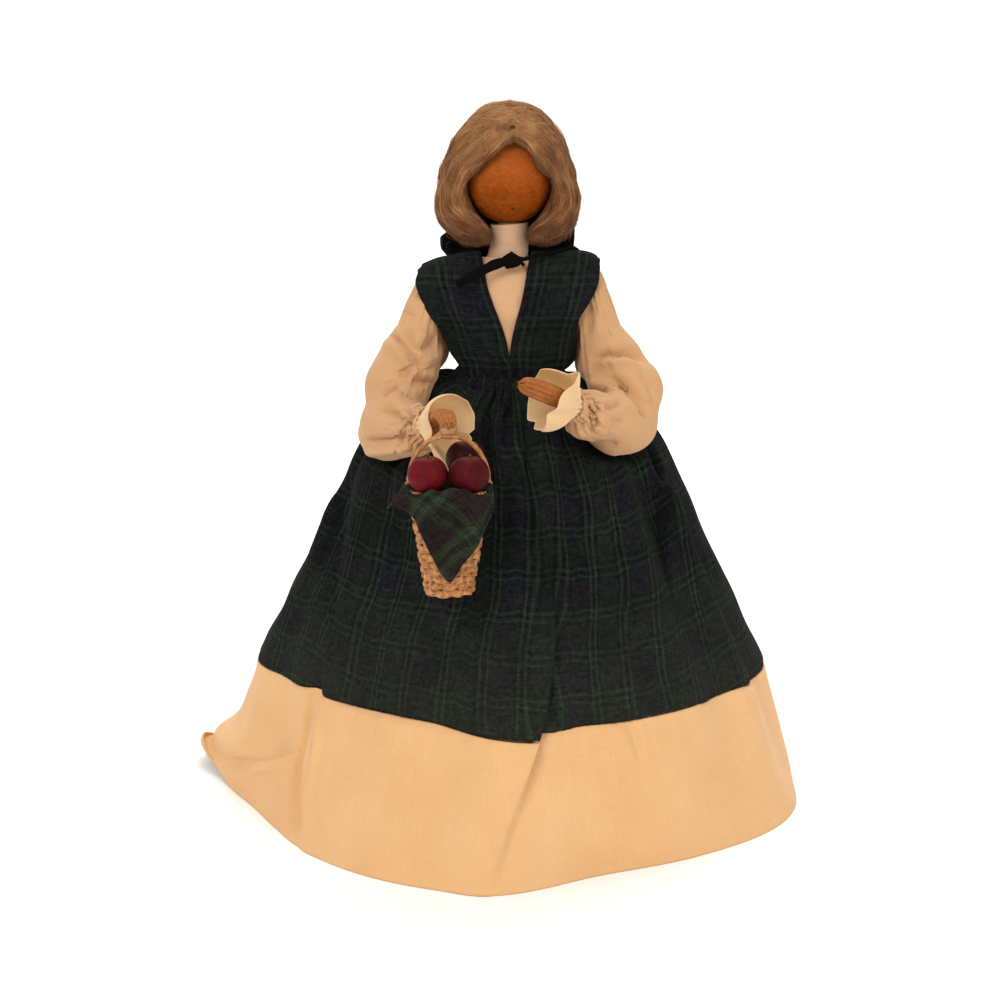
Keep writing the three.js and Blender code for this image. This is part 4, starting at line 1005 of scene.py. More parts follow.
# the creases of the band by the left-hand fold, and the ridge of the turned-out corner
qc = QH - tab(FOLD_LEFT, ZH)
crease = np.exp(-((qc * 100 + 8.5) / 4.2) ** 2) * 1.3 + np.exp(-((qc * 100 - 5.5) / 3.4) ** 2) * 0.9
crease = crease + 0.9 * np.exp(-((QH - 0.515 - (60 - ZH) * 0.0026) * 100 / 2.4) ** 2) * smooth((ZH - 36) / 16.0)
PH -= outh * (crease * smooth(ZH / 8.0) * (1 - tin))[..., None]
ridge_z = tab([(-1.95, 13.0), (-1.8, 13.0), (-1.45, 19.0), (-1.1, 25.0), (-0.9, 27.0)], wrap_q(QH))
ridge_w = smooth((wrap_q(QH) + 2.05) / 0.2) * smooth((-0.95 - wrap_q(QH)) / 0.3)
PH += outh * (ridge_w * 3.6 * (np.exp(-((ZH - ridge_z) / 5.0) ** 2) - 0.45 * np.exp(-((ZH - ridge_z - 13) / 8.0) ** 2)) * smooth(ZH / 6.0))[..., None]
HEM_LINES = [
    ([(314.0, 700.0), (303.0, 740.0), (296.0, 785.0), (297.0, 846.0)], 2.8, 1.9, 1),
    ([(222.0, 758.0), (240.0, 762.0), (265.0, 756.0), (294.0, 748.0)], 2.8, 2.1, -1),
    ([(628.0, 722.0), (634.0, 740.0), (641.0, 762.0)], 1.4, 1.6, 0),
]
nH = grid_normals(PH, closed=True)
nH = nH * np.sign((nH * outh).sum(-1, keepdims=True) + 1e-9)
PH = press_folds(PH, nH, HEM_LINES)
# the corner is drawn out, lifted from the floor and curled up along its edge
ear = np.exp(-((wrap_q(QH) - TIP_Q) / 0.13) ** 2)
low = np.clip(1 - ZH / 15.0, 0, 1)
PH += outh * (ear * 5.0 * low ** 1.6)[..., None]
PH[..., 2] += ear * (6.5 * np.exp(-ZH / 13.0) + 5.5 * np.clip(1 - ZH / 4.6, 0, 1) ** 1.5)
PH -= outh * (ear * 3.4 * np.clip(1 - ZH / 2.6, 0, 1) ** 1.5)[..., None]
PH[..., 2] += 2.2 * TIP * np.exp(-ZH / 10.0) * (1 - ear)
PH[..., 2] = np.maximum(PH[..., 2], 0.05)
VH = np.concatenate([np.zeros((1, QN)), np.cumsum(np.linalg.norm(np.diff(PH, axis=0), axis=-1), axis=0)], 0)
UH = np.broadcast_to(qe[None, :] * 116.0, (len(zh), QN + 1)) + np.append(HIDH, HIDH[:, :1], 1)
UVH = np.stack([UH, np.append(VH, VH[:, :1], 1)], -1)
v, f, uv = grid_parts(PH, UVH, closed=True, flip=facing(PH, (0, 0, 30), True))
hem = make("hem_cloth", v, f, uv.reshape(-1, 2), [MUSLIN])
thicken(hem, 0.8)
stand_for(hem, "muslin", "hem_band")

# ------------------------------------------------------------------ stuffing under the skirt
qf = -np.pi + TAU * np.arange(180) / 180
inset = [(8.6, 5.0), (57, 4.2), (100, 4.2), (136, 5.2), (150, 7.0), (158, 8.2), (183, 8.2)]
zf = np.concatenate([np.linspace(8.6, 160, 60), np.linspace(162, 182.5, 14)])
QF, ZF = np.meshgrid(qf, zf)
rf = np.minimum(skirt_r(QF, ZF)[0], drape(QF, ZF)[0]) - tab(inset, ZF) - 3.2 * np.exp(-((wrap_q(QF) + 1.5) / 0.55) ** 2) * smooth((62 - ZF) / 8.0)
rf = np.maximum(rf, 11.0)
rf = rf - 1.6 * smooth((13 - ZF) / 5.0) + 0.8 * np.sin(9 * QF + 1) * smooth((ZF - 10) / 20) - 0.8
# and it gives way under the pleats and folds of the cloth
lim = np.full(QF.shape, 1e3)
for G in (PS.reshape(-1, 3), PH.reshape(-1, 3)):
    iq = np.round((np.arctan2(G[:, 0], -G[:, 1]) + np.pi) / TAU * 180).astype(int) % 180
    iz = np.clip(np.searchsorted(zf, G[:, 2]), 0, len(zf) - 1)
    np.minimum.at(lim, (iz, iq), np.hypot(G[:, 0], G[:, 1]))
wide_ = np.concatenate([lim[:, -1:], lim, lim[:, :1]], 1)
lim = np.minimum(np.minimum(wide_[:, :-2], wide_[:, 1:-1]), wide_[:, 2:])
wide_ = np.concatenate([lim[:1], lim, lim[-1:]], 0)
lim = np.minimum(np.minimum(wide_[:-2], wide_[1:-1]), wide_[2:])
rf = np.minimum(rf, np.maximum(lim - 1.8, 9.0))
PF = np.stack([rf * np.sin(QF), -rf * np.cos(QF), ZF], -1)
lo_r = np.linspace(1, 0.052, 26)[1:]
bottom = []
for i, kk in enumerate(lo_r):
    rr = PF[0, :, :2] * kk
    rad = np.hypot(rr[:, 0], rr[:, 1])
    puff = np.where(rad > 64, 0.55 * np.sin(14 * qf) * np.sin(np.pi * np.clip((rad - 64) / 50, 0, 1)), 0.0)
    bottom.append(np.stack([rr[:, 0], rr[:, 1], 8.9 + np.maximum(puff, 0)], -1))
top = [np.stack([PF[-1, :, 0] * kk, PF[-1, :, 1] * kk, np.full(180, 182.9)], -1) for kk in (0.85, 0.6, 0.42)]
PF = np.concatenate([np.array(bottom[::-1]), PF, np.array(top)], 0)
UVF = np.stack(np.broadcast_arrays(np.arange(181)[None, :] * 3.0, np.arange(len(PF))[:, None] * 2.0), -1)
v, f, uv = grid_parts(PF, UVF, closed=True, flip=facing(PF, (0, 0, 90), True))
form = make("skirt_stuffing", v, f, uv.reshape(-1, 2), [FIBRE])
stand_for(form, "fibre", "skirt_form")

# ------------------------------------------------------------------ bodice
SHOULDER_TOP = 241.0
DEPTH0 = [(186, 21), (200, 22), (215, 21), (225, 18.5), (232, 15), (237, 11), (240, 6.5), (241, 2)]
WIDTH0 = [(186, 21.0), (196, 22.6), (204, 26.0), (214, 28.5), (229, 42), (241, 62)]
SHOULDER_R = [(0, 242.6), (12, 242.6), (28, 240.4), (34, 238.4), (38.5, 236.2), (40.5, 234.4)]
SHOULDER_L = [(0, 242.8), (26, 242.8), (32, 242.0), (36, 240.8), (39.5, 238.8)]
shoulder = lambda x: np.where(x < 0, tab(SHOULDER_R, np.abs(x)), tab(SHOULDER_L, np.abs(x)))
V_EDGE = [(186, 0.2), (199, 0.2), (230, 8.2), (236, 9.3), (241, 10.6)]
ARM_EDGE = [(186, 20.9), (196, 22.4), (203, 25.2), (212, 24.6), (222, 23.8), (230, 24), (234.5, 37), (241, 38.5)]


# The fronts spread over the tops of the sleeves.
FRONT_W = [(185.0, 27.5), (190, 28), (196, 31), (202, 34), (206, 37), (211, 41), (215, 44.5), (219, 46.5), (229, 47.5), (233, 49), (237, 53), (241, 62)]
EDGE_R = [(185.0, 15.0), (189.0, 17.0), (191.5, 19.0), (194.4, 21.2), (199, 24.6), (202.7, 26.8), (206, 28.6), (211.3, 31.0), (215, 33.6), (218.8, 36.2), (224, 38.4), (230, 39.8), (235, 40.4), (241, 40.4)]
EDGE_L = [(185.0, 16.0), (189.0, 19.0), (191.5, 22.2), (194, 25.6), (197.3, 27.9), (200.5, 28.8), (204, 29.2), (211.9, 29.3), (214.6, 30.2), (222, 34.8), (229.2, 38.0), (235, 39.0), (241, 39.4)]
V_SHIFT = [(186, 0.0), (199, 0.0), (216, -0.7), (232, -1.5), (244, -1.5)]



def bodice_point(xa, xb, u, w, sx, sy, bottom, width=WIDTH0):
    z = bottom + (SHOULDER_TOP - bottom) * w
    X = tab(width, z)
    a0, a1 = np.arcsin(np.clip(xa(z) / X, -1, 1)), np.arcsin(np.clip(xb(z) / X, -1, 1))
    a = a0 + (a1 - a0) * u
    x = X * np.sin(a)
    drop = (SHOULDER_TOP - shoulder(sx * x)) * smooth((w - 0.6) / 0.4)
    return np.stack([sx * x, sy * np.maximum(tab(DEPTH0, z) * np.cos(a), 1.2), z - drop], -1)


v_edge = lambda z: tab(V_EDGE, z)
arm_edge = lambda z: tab(ARM_EDGE, z)
WOB_B = Wob(33)
WOB_K = Wob(35)


def finish_panel(P, away, roll=1.0, soft=0.45, seed=0):
    """Small wrinkles, and edges that turn under."""
    n = grid_normals(P)
    s = np.sign(((P - np.asarray(away, float)) * n).sum(-1, keepdims=True).mean())
    n = n * s
    P = P + n * (WOB_B(P + seed * 50, 17.0) * soft + WOB_B(P + seed * 90, 8.0) * soft * 0.35)[..., None]
    du = np.linalg.norm(np.diff(P, axis=1), axis=-1)
    cu = np.concatenate([np.zeros((P.shape[0], 1)), np.cumsum(du, 1)], 1)
    edge = np.minimum(cu, cu[:, -1:] - cu)
    k = np.clip(edge / roll, 0, 1)
    P = P - n * (roll * 0.8 * (1 - np.sqrt(np.clip(1 - (1 - k) ** 2, 0, 1))))[..., None]
    return P, cu


def front_panel(name, side, node, phase):
    sx = -1 if side == "right" else 1
    u, w = np.meshgrid(np.concatenate([np.linspace(0, 0.06, 6)[:-1], np.linspace(0.06, 0.94, 52), np.linspace(0.94, 1, 6)[1:]]), np.linspace(0, 1, 84))
    lap = 2.2 if sx < 0 else 0.0       # this side laps over the other below the V
    inner = lambda z: v_edge(z) - lap * smooth((201 - z) / 5.0)
    outer = lambda z: tab(EDGE_R if sx < 0 else EDGE_L, z)
    P = bodice_point(inner, outer, u, w, sx, -1, 185.2, FRONT_W)
    z = P[..., 2]
    # drawn in over the waist, with small pleats
    pl = np.sin(u * 30 + (1 if sx > 0 else 0)) * 0.5 * np.exp(-np.maximum(z - 188, 0) / 7.0)
    n = grid_normals(P)
    n = n * np.sign(((P - np.array([0, 0, 215.0])) * n).sum(-1, keepdims=True))
    P = P + n * (pl + 0.4 * np.exp(-((z - 197.0) / 5.0) ** 2) - 1.2 * smooth((189.0 - z) / 2.0))[..., None]
    P[..., 0] += tab(V_SHIFT, z) * smooth((0.75 - u) / 0.7)
    if sx < 0:
        P = P + n * (0.9 * smooth((208 - z) / 10.0) * smooth((0.5 - u) / 0.4))[..., None]
    P, cu = finish_panel(P, (0, 0, 215), seed=2 if sx > 0 else 5)
    UV = np.stack([sx * cu + phase, (z - 186) * 1.03 + 3.0], -1)
    vv, ff, uvv = grid_parts(P, UV, flip=facing(P, (0, 0, 212)))
    ob = make(name, vv, ff, uvv.reshape(-1, 2), [TARTAN_B])
    thicken(ob, 0.9)
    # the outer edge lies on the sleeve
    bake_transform(ob)
    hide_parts(node)
    return ob, P


bodice_r, PBR = front_panel("bodice_right_front", "right", "bodice_front_right", 15.3)
bodice_l, PBL = front_panel("bodice_left_front", "left", "bodice_front_left", 8.5)
u, w = np.meshgrid(np.linspace(0, 1, 90), np.linspace(0, 1, 70))
PB = bodice_point(lambda z: -arm_edge(z), arm_edge, u, w, 1, 1, 186.6)
nearneck = (np.abs(PB[..., 0]) < 13) & (PB[..., 2] > 235)
PB[..., 1] = np.where(nearneck, np.maximum(PB[..., 1], 10.9), PB[..., 1])
PB, cu = finish_panel(PB, (0, 0, 215), seed=9)
UV = np.stack([cu + 2.0, (PB[..., 2] - 186) * 1.03 + 3.0], -1)
v, f, uv = grid_parts(PB, UV, flip=facing(PB, (0, -4, 212)))
bodice_b = make("bodice_back_panel", v, f, uv.reshape(-1, 2), [TARTAN_B])
thicken(bodice_b, 0.9)
stand_for(bodice_b, "tartan", "bodice_back")

depth = lambda x, z: tab(DEPTH0, z) * np.sqrt(np.maximum(1 - (x / tab(WIDTH0, z)) ** 2, 0))
u, w = np.meshgrid(np.linspace(-1, 1, 30), np.linspace(0, 1, 44))
zb = 196 + (240.2 - 196) * w
xb = u * (v_edge(zb) + 2.2)
yb = np.maximum(depth(xb, zb) - 2.4, np.sqrt(np.maximum(10.2 ** 2 - xb ** 2, 1.0)) * smooth((zb - 228) / 6.0))
PV = np.stack([xb + tab(V_SHIFT, zb), -(yb + 0.25 * np.sin(zb * 0.35 + xb * 0.3)), zb], -1)
PV[..., 1] += 0.25 * WOB_B(PV, 12.0)
v, f, uv = grid_parts(PV, np.stack([xb, zb], -1), flip=facing(PV, (0, 0, 215)))
blouse = make("blouse_inset", v, f, uv.reshape(-1, 2), [BLOUSE])
thicken(blouse, 0.6)
stand_for(blouse, "muslin", "blouse_front")

# the stuffed body under the bodice, in blouse cloth
CORE_A = [(187.6, 18.6), (196, 19.4), (205, 20.6), (222, 20.5), (231, 19), (235.6, 12)]
CORE_B = [(187.6, 16.5), (205, 17), (218, 15.5), (226, 12.5), (231, 9.5), (235.6, 6.6)]
a = TAU * np.arange(72) / 72
zc = np.linspace(187.8, 235.4, 40)
AC, ZC = np.meshgrid(a, zc)
rip = 1 + 0.012 * np.sin(7 * AC + ZC * 0.3)
PC = np.stack([tab(CORE_A, ZC) * np.cos(AC) * rip * 0.985, tab(CORE_B, ZC) * np.sin(AC) * rip * 0.985, ZC], -1)
cap0 = np.stack([np.stack([PC[0, :, 0] * kk, PC[0, :, 1] * kk, np.full(72, 187.7)], -1) for kk in (0.28, 0.6)], 0)
cap1 = np.stack([np.stack([PC[-1, :, 0] * kk, PC[-1, :, 1] * kk, np.full(72, 235.5)], -1) for kk in (0.85, 0.62)], 0)
PC = np.concatenate([cap0, PC, cap1], 0)
v, f, uv = grid_parts(PC, np.stack(np.broadcast_arrays(np.arange(73)[None, :] * 1.7, np.arange(len(PC))[:, None] * 1.2), -1), closed=True, flip=facing(PC, (0, 0, 212), True))
core = make("stuffed_body", v, f, uv.reshape(-1, 2), [BLOUSE])
stand_for(core, "fibre", "torso_core")

# neck: a strip of muslin wound round the dowel, its end lapped at the back
turns = 1.14
a = np.linspace(0, TAU * turns, 110) + 0.6 * np.pi
zn = np.linspace(236.3, 254.2, 34)
AN, ZN = np.meshgrid(a, zn)
rn = tab([(236.2, 8.6), (238, 9.5), (242, 8.9), (248, 8.4), (254.4, 8.3)], ZN) - 0.6 + 0.55 * (AN - a[0]) / (TAU * turns)
rn = rn + 0.07 * np.sin(ZN * 1.3 + 2 * np.sin(AN)) + 0.06 * np.sin(ZN * 2.3 + 3 * AN)
PN = np.stack([rn * np.sin(AN) - 1.1 * smooth((247 - ZN) / 9.0), -rn * np.cos(AN), ZN + 0.5 * np.sin(AN * 1.0)], -1)
v, f, uv = grid_parts(PN, np.stack([AN * 8.0, ZN], -1), flip=facing(PN, (0, 0, 245)))
neck = make("neck_cloth", v, f, uv.reshape(-1, 2), [NECK])
thicken(neck, 0.5)
stand_for(neck, "muslin", "neck_wrap")

# ------------------------------------------------------------------ cord at the throat
CORD_PATH = [(29.5, 2.5, 242.2), (26.8, -1.6, 243.9), (19.6, -8.0, 242.8), (12.2, -12.8, 241.5), (5.8, -15.4, 240.2), (0.4, -15.6, 239.6),
             (-5.6, -16.6, 238.3), (-10.2, -18.0, 236.3), (-15.6, -19.6, 233.4), (-22.4, -20.6, 230.0)]
cord_path = spline(CORD_PATH, 150)
half = int(150 * 0.5)
parts = Parts()
add_tube(parts, cord_path[:half + 4], 0.9, 0.8, sides=12, up=(0, 0, 1), spin=2.2, lobes=2, lobe=0.12)
kt = np.linspace(0, 1, 150 - half)
wide = tab([(0, 1.2), (0.15, 1.7), (0.45, 2.2), (0.8, 2.2), (1, 1.5)], kt)
add_tube(parts, cord_path[half:], wide * (1 + 0.06 * np.sin(kt * 21)), 0.42 + 0.1 * np.sin(kt * 9), sides=14, up=(0, 0, 1), spin=-0.35 * kt)
cord = parts.build("throat_cord", [CORD])
parts = Parts()
# the knot: a pulled-tight lump with the last turn over it
th = np.linspace(0, np.pi, 26)
ph = TAU * np.arange(40) / 40
PH_, TH_ = np.meshgrid(ph, th)
dk = np.stack([np.sin(TH_) * np.cos(PH_), np.sin(TH_) * np.sin(PH_), np.cos(TH_)], -1)
tri = 1 + 0.16 * np.sin(3 * PH_ + 0.5) * np.sin(TH_) - 0.30 * np.clip(dk[..., 2], 0, 1) * np.abs(dk[..., 0])
PK = np.array([0.6, -14.7, 239.7]) + dk * np.array([4.5, 2.2, 3.1]) * tri[..., None] + 0.25 * np.stack([WOB_K(dk * 6, 5.0), WOB_K(dk * 6 + 9, 5.0), WOB_K(dk * 6 + 4, 5.0)], -1)
v, f, uv = grid_parts(PK, np.stack(np.broadcast_arrays(np.arange(41)[None, :] * 0.6, np.arange(26)[:, None] * 0.5), -1), closed=True, flip=facing(PK[1:-1], (0.6, -14.7, 239.7), True))
parts.add(v, f, uv)
t = np.linspace(-1.9, 1.9, 40)
turn_path = np.stack([0.2 + 1.0 * np.sin(t * 0.8), -14.7 - 2.35 * np.cos(t * 0.82), 239.7 + 3.1 * np.sin(t * 0.82)], -1)
add_tube(parts, turn_path, 1.1, 0.5, sides=12, up=(1, 0, 0))
add_tube(parts, spline([(3.6, -15.6, 239.9), (5.2, -16.3, 238.7), (6.2, -16.4, 237.6)], 14), 0.8, 0.45, sides=10)
knot = parts.build("cord_knot_tied", [CORD])
stand_for(knot, "cord", "cord_knot")
stand_for(cord, "cord", "neck_cord", "cord_tail")

# ------------------------------------------------------------------ hood pushed back
def hood_rows(section, q0, n_q, n_s, seed, swell=1.0):
    t = np.linspace(0, 1, n_q)
    q = q0 + (TAU - 2 * q0 + 0.12) * t
    arch = np.sin(np.pi * t)
    end = np.exp(-((t - 1.0) / 0.09) ** 2)            # and hangs down flat at the doll's right
    rise = 1.6 + 14.4 * arch ** 2 + 0.6 * end
    near = np.exp(-((t - 0.07) / 0.06) ** 2)          # stands up beside the hair at the doll's left
    topz = 246.0 + 4.0 * arch + 4.2 * near - 0.2 * end
    half = 0.9 + 4.5 * np.clip(arch, 0, 1)
    s = np.linspace(0, 1, n_s)
    P = np.zeros((n_s, n_q, 3))
    for j, x in enumerate(s):
        o, h = section(x)              # across (-1 inside, 1 outside) and height (0 bottom, 1 top)
        fold = np.sin(9 * q + 1.4 * np.sin(3 * q) + seed) * 0.5 * np.clip(arch, 0, 1) * np.sin(np.pi * min(x * 1.0, 1.0))
        rr = 28.4 + 6.6 * np.clip(arch, 0, 1) ** 0.8 + half * o * swell + fold
        zz = topz - (2 * rise + 4.2 * near) * (1 - h) + 0.5 * np.sin(7 * q + seed) * arch
        P[j] = np.stack([rr * np.sin(q), 1 - rr * np.cos(q), zz], -1)
    return P


def u_section(inner_top, outer_top, bottom, width):
    def f(x):
        a = np.pi * (1 - x)
        o = np.cos(a) * width
        h = bottom + (1 - np.sin(a)) ** 1.5 * ((inner_top if x < 0.5 else outer_top) - bottom)
        return o, h
    return f


PHD = hood_rows(u_section(0.72, 1.0, 0.0, 1.0), 1.90, 110, 30, 0.0)
cu = np.concatenate([np.zeros((30, 1)), np.cumsum(np.linalg.norm(np.diff(PHD, axis=1), axis=-1), 1)], 1)
cv = np.concatenate([np.zeros((1, 110)), np.cumsum(np.linalg.norm(np.diff(PHD, axis=0), axis=-1), 0)], 0)
v, f, uv = grid_parts(PHD, np.stack([cu + 5, cv + 9], -1), flip=False)
hood = make("hood_cloth", v, f, uv.reshape(-1, 2), [TARTAN_B])
thicken(hood, 0.7, 0.0)
stand_for(hood, "tartan", "hood")
PL = hood_rows(u_section(0.78, 1.10, 0.30, 0.62), 1.95, 100, 24, 0.4, 0.9)
PL[..., 2] = np.maximum(PL[..., 2], 228.0)
PL = PL[:, :78]
cu = np.concatenate([np.zeros((24, 1)), np.cumsum(np.linalg.norm(np.diff(PL, axis=1), axis=-1), 1)], 1)
cv = np.concatenate([np.zeros((1, 78)), np.cumsum(np.linalg.norm(np.diff(PL, axis=0), axis=-1), 0)], 0)
v, f, uv = grid_parts(PL, np.stack([cu, cv], -1), flip=False)
lining = make("hood_red_lining", v, f, uv.reshape(-1, 2), [LINING])
thicken(lining, 0.5, 0.0)
stand_for(lining, "lining", "hood_lining")

# ------------------------------------------------------------------ head
HEAD_R, HEAD_Z = 19.0, 273.0
nu, nv = 128, 72
th = np.linspace(0.0, np.pi, nv)
ph = TAU * np.arange(nu) / nu
PHI, TH = np.meshgrid(ph, th)
d = np.stack([np.sin(TH) * np.sin(PHI), -np.sin(TH) * np.cos(PHI), np.cos(TH)], -1)
rr = HEAD_R + 0.05 * Wob(51)(d * 19, 14.0)
flat = np.clip((d[..., 2] + 0.965) / 0.02, 0, 1)
rr = np.where(d[..., 2] < -0.955, HEAD_R * 0.955 / np.maximum(-d[..., 2], 1e-6), rr)      # the small flat round the drilled hole
speck = np.array([0.08, -0.77, -0.633])
speck = speck / np.linalg.norm(speck)
rr = rr - 0.35 * np.exp(-(np.linalg.norm(d - speck, axis=-1) * 19 / 1.1) ** 2)            # a small dent in the wood
PHEAD = d * rr[..., None] + np.array([0, 0, HEAD_Z])
hole = PHEAD[-2].copy()
v, f, uv = grid_parts(PHEAD[:-3], np.stack(np.broadcast_arrays(np.arange(nu + 1)[None, :] * 1.0, np.arange(nv - 3)[:, None] * 1.0), -1), closed=True, flip=facing(PHEAD[1:-1], (0, 0, HEAD_Z), True))
head_parts = Parts()
head_parts.add(v, f, uv)
ringz = PHEAD[-4].copy()
bore = []
for rad, zz in ((5.9, 254.87), (5.4, 255.0), (5.35, 266.6), (0.05, 266.9)):
    bore.append(np.stack([rad * np.sin(ph), -rad * np.cos(ph), np.full(nu, zz)], -1))
bore = np.stack([ringz] + bore, 0)
v, f, uv = grid_parts(bore, np.zeros((5, nu + 1, 2)), closed=True, flip=facing(bore, (0, 0, 262.0), True))
f = f[:, ::-1] if not facing(bore, (0, 0, 262.0), True) else f
head_parts.add(v, f, uv)
# the small speck on the lower part of the ball
SPECK = stained_wood("speck", (40, 18, 6), (58, 26, 8), (78, 36, 12), coat=0.1)
c = np.array([0, 0, HEAD_Z]) + speck * 18.86
e1 = unit(np.cross(speck, [0, 0, 1]))
e2 = np.cross(speck, e1)
ang = TAU * np.arange(14) / 14
rad = 0.85 * (1 + 0.25 * np.sin(3 * ang + 1))
disc = np.vstack([c, c + e1 * (rad * np.cos(ang))[:, None] + e2 * (rad * 0.7 * np.sin(ang))[:, None] - speck * 0.05])
head_parts.add(disc, np.array([[0, 1 + i, 1 + (i + 1) % 14] for i in range(14)])[:, ::-1], None, 1)
head = head_parts.build("head_turned_ball", [HEAD_WOOD, SPECK])
stand_for(head, "head_wood", "head_ball")

# ------------------------------------------------------------------ hair
HAIR_A = [(243.4, 9), (244.2, 15), (246, 20.5), (248.5, 24), (251.5, 26.8), (256.6, 29.2), (263.4, 30.3), (272.7, 29.0), (282, 25.6), (290.6, 21.9), (297.6, 17.0), (301.4, 13.0), (303.4, 9.2), (304.3, 5.0), (304.6, 0.5)]
HAIR_F = [(243.4, 4), (245, 9), (248, 13), (251, 16), (256, 19.5), (262, 22), (272, 23.6), (282, 23.4), (290, 21.0), (297.6, 15.6), (301.4, 11.8), (303.4, 8.0), (304.3, 4.2), (304.6, 0.4)]
HAIR_B = [(243.4, 8), (244.2, 13), (246, 17.5), (248.5, 21), (251, 24), (260, 26.3), (272, 27), (282, 25.4), (290, 22.2), (297.6, 16.8), (301.4, 12.8), (303.4, 9.0), (304.3, 4.8), (304.6, 0.5)]
C0 = np.array([-0.4, 1.0, 269.0])
PIN_AT = np.array([1.2, -17.8, 294.8])


def hair_surface(d):
    """Distance from the middle of the head to the hair's outer surface, along directions d."""
    lo, hi = np.full(d.shape[:-1], 1.0), np.full(d.shape[:-1], 60.0)
    for _ in range(30):
        m = (lo + hi) / 2
        p = C0 + d * m[..., None]
        z = p[..., 2]
        x, y = p[..., 0] + 0.4, p[..., 1] - 1.0
        D = np.where(y < 0, tab(HAIR_F, z), tab(HAIR_B, z))
        inside = ((x / tab(HAIR_A, z)) ** 2 + (y / D) ** 2 < 1) & (z < 304.6) & (z > 243.4)
        lo, hi = np.where(inside, m, lo), np.where(inside, hi, m)
    return lo


def polar(az, el):
    az, el = math.radians(az), math.radians(el)
    return np.array([math.cos(el) * math.sin(az), -math.cos(el) * math.cos(az), math.sin(el)])


def front_dir(x, z):
    """Direction of the point of the hair's front surface at x and z."""
    y = 1 - float(tab(HAIR_F, z)) * math.sqrt(max(1 - ((x + 0.4) / float(tab(HAIR_A, z))) ** 2, 0.02))
    return unit(np.array([x, y, z]) - C0)


# Three locks of the doll's left side, from the parting to the tips: along the face, over the side and down the back.
KNOTS = {
    "face": [(0, front_dir(-0.3, 292.6)), (0.12, front_dir(4.6, 289.4)), (0.25, front_dir(9.6, 284.7)), (0.38, front_dir(15.2, 279)), (0.5, front_dir(19.8, 272.6)), (0.58, front_dir(21.0, 266.5)),
             (0.66, front_dir(18.4, 260.6)), (0.73, front_dir(13.2, 256.6)), (0.82, front_dir(9.2, 253.0)), (0.91, front_dir(8.2, 249.2)), (1.0, front_dir(9.0, 245.6))],
    "side": [(0, np.array([-0.012, -0.16, 1.0])), (0.2, polar(84, 58)), (0.4, polar(94, 32)), (0.6, polar(97, 6)), (0.78, polar(97, -22)), (0.9, polar(96, -46)), (1.0, polar(95, -62))],
    "back": [(0, np.array([-0.012, 0.5, 0.86])), (0.25, polar(180, 40)), (0.45, polar(181.5, 18)), (0.65, polar(182, -6)), (0.82, polar(182, -30)), (0.92, polar(182, -48)), (1.0, polar(182, -62))],
}
TS = np.linspace(0, 1, 81)
LOCK = {}
for key, rows in KNOTS.items():
    tt = [r[0] for r in rows]
    LOCK[key] = unit(np.stack([tab([(r[0], unit(r[1])[c]) for r in rows], TS) for c in range(3)], -1))
WALL = np.array([(0.0, -12.4, 288.8), (4.4, -13.6, 286.2), (9.0, -13.9, 282.2), (14.0, -12.2, 277.0), (18.0, -7.4, 271.8), (18.2, -6.6, 266.2), (15.4, -9.0, 260.2), (11.6, -9.0, 256.0),
                 (8.9, -7.2, 252.6), (7.8, -7.6, 249.0), (8.6, -7.4, 245.8)])
WALL_T = [0, 0.12, 0.25, 0.38, 0.5, 0.58, 0.66, 0.73, 0.82, 0.91, 1.0]


def at_t(table, t):
    k = np.clip(t, 0, 1) * 80
    i = np.minimum(k.astype(int), 79)
    f_ = (k - i)[..., None]
    return table[i] * (1 - f_) + table[i + 1] * f_


def hair_point(s, t, lift):
    """A point on the hair of the doll's left side. s: 0 along the face to 1 down the back, below 0 on the inner wall round the face. t: 0 at the parting to 1 at the tips."""
    sc = np.clip(s, 0, 1)[..., None]
    E_, M_, B_ = at_t(LOCK["face"], t), at_t(LOCK["side"], t), at_t(LOCK["back"], t)
    d = unit(E_ * (sc - 0.5) * (sc - 1) / 0.5 + M_ * sc * (sc - 1) / -0.25 + B_ * sc * (sc - 0.5) / 0.5)
    p = C0 + d * (hair_surface(d) + lift)[..., None]
    wall = np.stack([tab([(a_, w_[c]) for a_, w_ in zip(WALL_T, WALL)], t) for c in range(3)], -1)
    f_ = np.clip(-s / 0.16, 0, 1)[..., None]
    ctrl = np.stack([wall[..., 0] + 0.25 * (p[..., 0] - wall[..., 0]), p[..., 1] + 0.6, 0.5 * (wall[..., 2] + p[..., 2])], -1)
    p = (1 - f_) ** 2 * p + 2 * f_ * (1 - f_) * ctrl + f_ ** 2 * wall
    # keep clear of the ball and of the neck
    v_ = p - np.array([0, 0, HEAD_Z])
    dist = np.linalg.norm(v_, axis=-1, keepdims=True)
    p = np.where(dist < HEAD_R + 0.3, np.array([0, 0, HEAD_Z]) + v_ / dist * (HEAD_R + 0.3), p)
    rad = np.hypot(p[..., 0], p[..., 1])
    push = np.where((p[..., 2] < 256) & (rad < 9.9), 9.9 / np.maximum(rad, 1e-6), 1.0)
    p[..., 0] *= push
    p[..., 1] *= push
    return p, d


WOB_H = Wob(71, 12)


